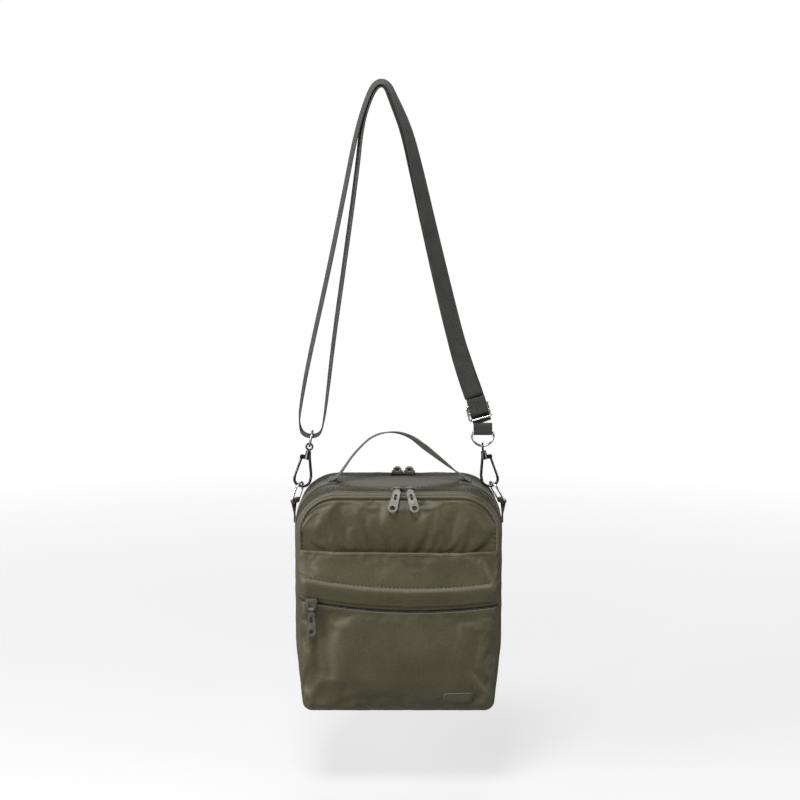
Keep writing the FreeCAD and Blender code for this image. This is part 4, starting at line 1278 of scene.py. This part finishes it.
def make_pocket_panel():
    """The zipped pocket's large lower panel, with soft upright folds and corner creases."""
    columns, rows = 66, 36
    place = place_on_pocket(
        lambda x: zip_height(x, -SLIT_HALF), lambda x: BOTTOM + POCKET_INSET, folds=PANEL_FOLDS,
    )
    piece = sheet_piece("pocket_panel", columns, rows, place, SHELL)
    inflate(piece, sewn_edge(columns, rows) + beside_zip(piece), 0.9, 0.03, -0.0022, 0.0010)
    thicken(piece, 0.0016)
    return placed(piece, "front_lid", "shell_fabric", "pocket_lower_panel")


def place_flap(u, v):
    """The flap: a rounded fold that stands off the zipper and turns in at its lower edge."""
    x = BAG_X + half_width(ZIP_MIDDLE, POCKET_INSET) * spread(u)
    above = FLAP_HIGH + (FLAP_LOW - FLAP_HIGH) * min(1.0, v / 0.9)
    z = zip_height(x, above)
    proud = 0.0046 * math.sin(math.pi * min(1.0, v / 0.30) / 2) - 0.0024 * eased((v - 0.25) / 0.65)
    if v > 0.9:
        proud -= 0.0014 * (v - 0.9) / 0.1
        z -= 0.0003 * math.sin(math.pi * (v - 0.9) / 0.1)
    soft = 0.0004 * noise.noise(Vector((x, z, 0.0)) / 0.03)
    return Vector((x, pocket_depth(x, z) - proud - soft, z))


def make_flap():
    """The flap over the pocket's zipper, with the stitching that holds its upper edge."""
    flap = sheet_piece("zip_flap", 80, 18, place_flap, SHELL)
    thicken(flap, 0.0014)
    placed(flap, "front_lid", "shell_fabric", "pocket_flap")
    seam = seam_across(flap, 0.010, lambda x: zip_height(x, FLAP_HIGH - 0.0022))
    stitches("flap_thread", [seam], "front_lid", 0.0040, 0.0027, 0.0010)


def make_pocket_zip():
    """The pocket's zipper tape and coil."""
    place = place_on_pocket(
        lambda x: zip_height(x, TAPE_HALF), lambda x: zip_height(x, -TAPE_HALF), lift=-0.0026,
    )
    tape = sheet_piece("pocket_tape", 60, 6, place, TAPE)
    thicken(tape, 0.0008, 0)
    placed(tape, "front_lid", "zipper_tape", "pocket_zip_tape")
    steps = 119
    seam = []
    for k in range(steps + 1):
        x = BAG_X + (HALF_W - 0.012) * (2 * k / steps - 1)
        z = zip_height(x)
        seam.append((Vector((x, pocket_depth(x, z) + 0.0020, z)), Vector((0, -1, 0))))
    near, far = 0.0001, 0.0019
    teeth("pocket_coil_upper", seam, "front_lid", near, far)
    teeth("pocket_coil_lower", seam, "front_lid", -far, -near)


def make_patch(panel):
    """A plain stitched patch at the pocket's lower right corner."""
    low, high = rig.box("label_tab")
    surface = surface_of(panel)
    middle = (low + high) / 2
    half = (high - low) / 2
    corner = 0.003

    def place(u, v):
        x, z = u * half.x, (1 - 2 * v) * half.z
        over_x = max(0.0, abs(x) - (half.x - corner))
        over_z = max(0.0, abs(z) - (half.z - corner))
        reach = math.hypot(over_x, over_z)
        if reach > corner:
            x = math.copysign(half.x - corner + over_x * corner / reach, x)
            z = math.copysign(half.z - corner + over_z * corner / reach, z)
        spot, normal = laid_on(surface, middle.x + x, middle.z + z)
        rim = eased(min(half.x - abs(x), half.z - abs(z)) / 0.0012)
        return spot + normal * (0.0006 + 0.0007 * rim)

    patch = sheet_piece("plain_patch", 26, 14, place, PIPING)
    thicken(patch, 0.0012)
    placed(patch, "front_lid", "piping_fabric", "label_tab")
    face = surface_of(patch)
    margin = 0.0017
    steps = 60
    squareness = 0.35
    ring = []
    for k in range(steps + 1):
        turn = 2 * math.pi * k / steps
        x = math.copysign(abs(math.cos(turn)) ** squareness, math.cos(turn)) * (half.x - margin)
        z = math.copysign(abs(math.sin(turn)) ** squareness, math.sin(turn)) * (half.z - margin)
        ring.append(laid_on(face, middle.x + x, middle.z + z))
    stitches("patch_thread", [ring], "front_lid", 0.0024, 0.0017)


def place_back(u, v):
    """The bag's padded back."""
    z_low = BOTTOM + PANEL_INSET
    rounded = 0.016
    widest = half_width(TOP - TOP_R, PANEL_INSET)
    x = BAG_X - spread(u) * widest
    top = top_edge(x, PANEL_INSET)
    z = top + (z_low - top) * v
    x = BAG_X + (x - BAG_X) * half_width(min(z, TOP - TOP_R), PANEL_INSET) / widest
    edge = min(half_width(z, PANEL_INSET) - abs(x - BAG_X), top - z, z - z_low)
    full = math.sqrt(max(0.0, 1 - (1 - min(1.0, max(edge, 0.0) / rounded)) ** 2))
    return Vector((x, PIPE_FACE - 0.0012 + (REAR_FACE - PIPE_FACE + 0.0014) * full, z))


def make_back():
    """The padded rear panel, blown up between its seams."""
    columns, rows = 60, 52
    back = sheet_piece("rear_pad", columns, rows, place_back, SHELL)
    inflate(back, sewn_edge(columns, rows), 1.2, 0.02, -0.0012, 0.0040)
    thicken(back, 0.0014)
    placed(back, "rear_lid", "shell_fabric")
    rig.padded(back, fill=0.6)


# ================= handle, tabs =================

def make_handle():
    """The carrying handle in one piece; it bends where it leaves the bag."""
    line = route_line("handle_line", HANDLE_ROUTE)
    handle = webbing("carry_handle", line, turned_faces(line, HANDLE_ROUTE, -1), WEB_W, WEB_T, HANDLE)
    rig.blend(handle, "bag", "handle", start=(0, 0, TOP + 0.002), end=(0, 0, TOP + 0.014))
    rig.replaces(handle, "handle_strap", "handle_left_foot", "handle_right_foot")
    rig.slot(handle, "handle_webbing")


def make_handle_base(name, side):
    """Webbing sewn over one upper corner of the gusset and down its side."""
    line = []
    for i in range(OUTLINE_COUNT):
        place = on_outline(i, -(0.0001 + BASE_T / 2), 0.0)
        past = side * (place.x - BAG_X) > HALF_W - TOP_R
        if past and place.z > BASE_BOTTOM:
            line.append(place)
    line.sort(key=lambda p: side * p.x - 2 * p.z)
    wides = [Vector((0, 1, 0))] * len(line)
    piece = webbing(name + "_corner_webbing", line, wides, WEB_W, BASE_T, HANDLE)
    placed(piece, "bag", "handle_webbing", name + "_handle_base")
    seam_half = 0.0075
    seams = []
    for y in (-seam_half, seam_half):
        run = [(p + Vector((side * BASE_T / 2, y, 0)), Vector((side, 0, 0))) for p in line[-9:]]
        seams.append(run)
    bottom = line[-2] + Vector((side * BASE_T / 2, 0, 0))
    seams.append([(bottom + Vector((0, y, 0)), Vector((side, 0, 0))) for y in (-seam_half, seam_half)])
    stitches(name + "_corner_thread", seams, "bag", 0.0026, 0.0018)


def make_ring_tab(name, side):
    """A fold of cloth round a bag ring's bar, its tail sewn to the side of the bag."""
    bar = Vector((BAG_X + side * (HALF_W + BAR_OUT), 0, TOP - BAR_DROP))
    low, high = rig.box(name + "_ring_tab")
    half = (high.y - low.y) / 2 - 0.001
    yaw = -side * RING_YAW
    axis = Vector((math.sin(yaw), math.cos(yaw), 0))
    out = Vector((math.cos(yaw), -math.sin(yaw), 0)) * side
    thick = 0.0015
    radius = 0.0015 + thick / 2
    tail_x = BAG_X + side * (HALF_W + 0.0001 + BASE_T + 0.0009)
    line = [Vector((tail_x, 0, low.z + k * 0.003)) for k in range(4)]
    wides = [Vector((0, 1, 0))] * 4
    steps = 14
    for k in range(steps + 1):
        turn = math.radians(-50) + math.radians(330) * k / steps
        line.append(bar + out * (radius * math.cos(turn)) + Vector((0, 0, radius * math.sin(turn))))
        wides.append(axis)
    tab = webbing(name + "_tab", line, wides, 2 * half, thick, SHELL, ribs=4)
    placed(tab, "bag", "shell_fabric", name + "_ring_tab")


# ================= the whole =================

def dress_hardware():
    """Gives each shown CAD node its detailed material."""
    finishes = {
        "bright_steel": STEEL, "gunmetal": GUNMETAL, "painted_zip_metal": PAINTED,
        "lining": LINING, "shell_fabric": SHELL,
    }
    for part in frame["record"]["subparts"]:
        finish = finishes.get(part["material_slot"])
        for slot in frame["nodes"][part["node"]].material_slots if finish else ():
            slot.material = finish


def main():
    """Builds everything round the frame."""
    make_camera()
    make_strap()
    make_light()
    make_floor()
    make_gusset()
    for name, side in (("front", -1), ("rear", 1)):
        make_zipper(name, side)
        make_lid_rim(name, side)
        make_hinge(name, side)
    make_pad()
    make_pocket_band()
    make_pocket_zip()
    panel = make_pocket_panel()
    make_flap()
    make_patch(panel)
    make_back()
    make_handle()
    for name, side in (("left", -1), ("right", 1)):
        make_handle_base(name, side)
        make_ring_tab(name, side)
    dress_hardware()


main()
low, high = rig.bounds()
with open("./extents.json", "w") as out:
    json.dump({"cad": [list(CAD_LOW), list(CAD_HIGH)], "visual": [list(low), list(high)]}, out)
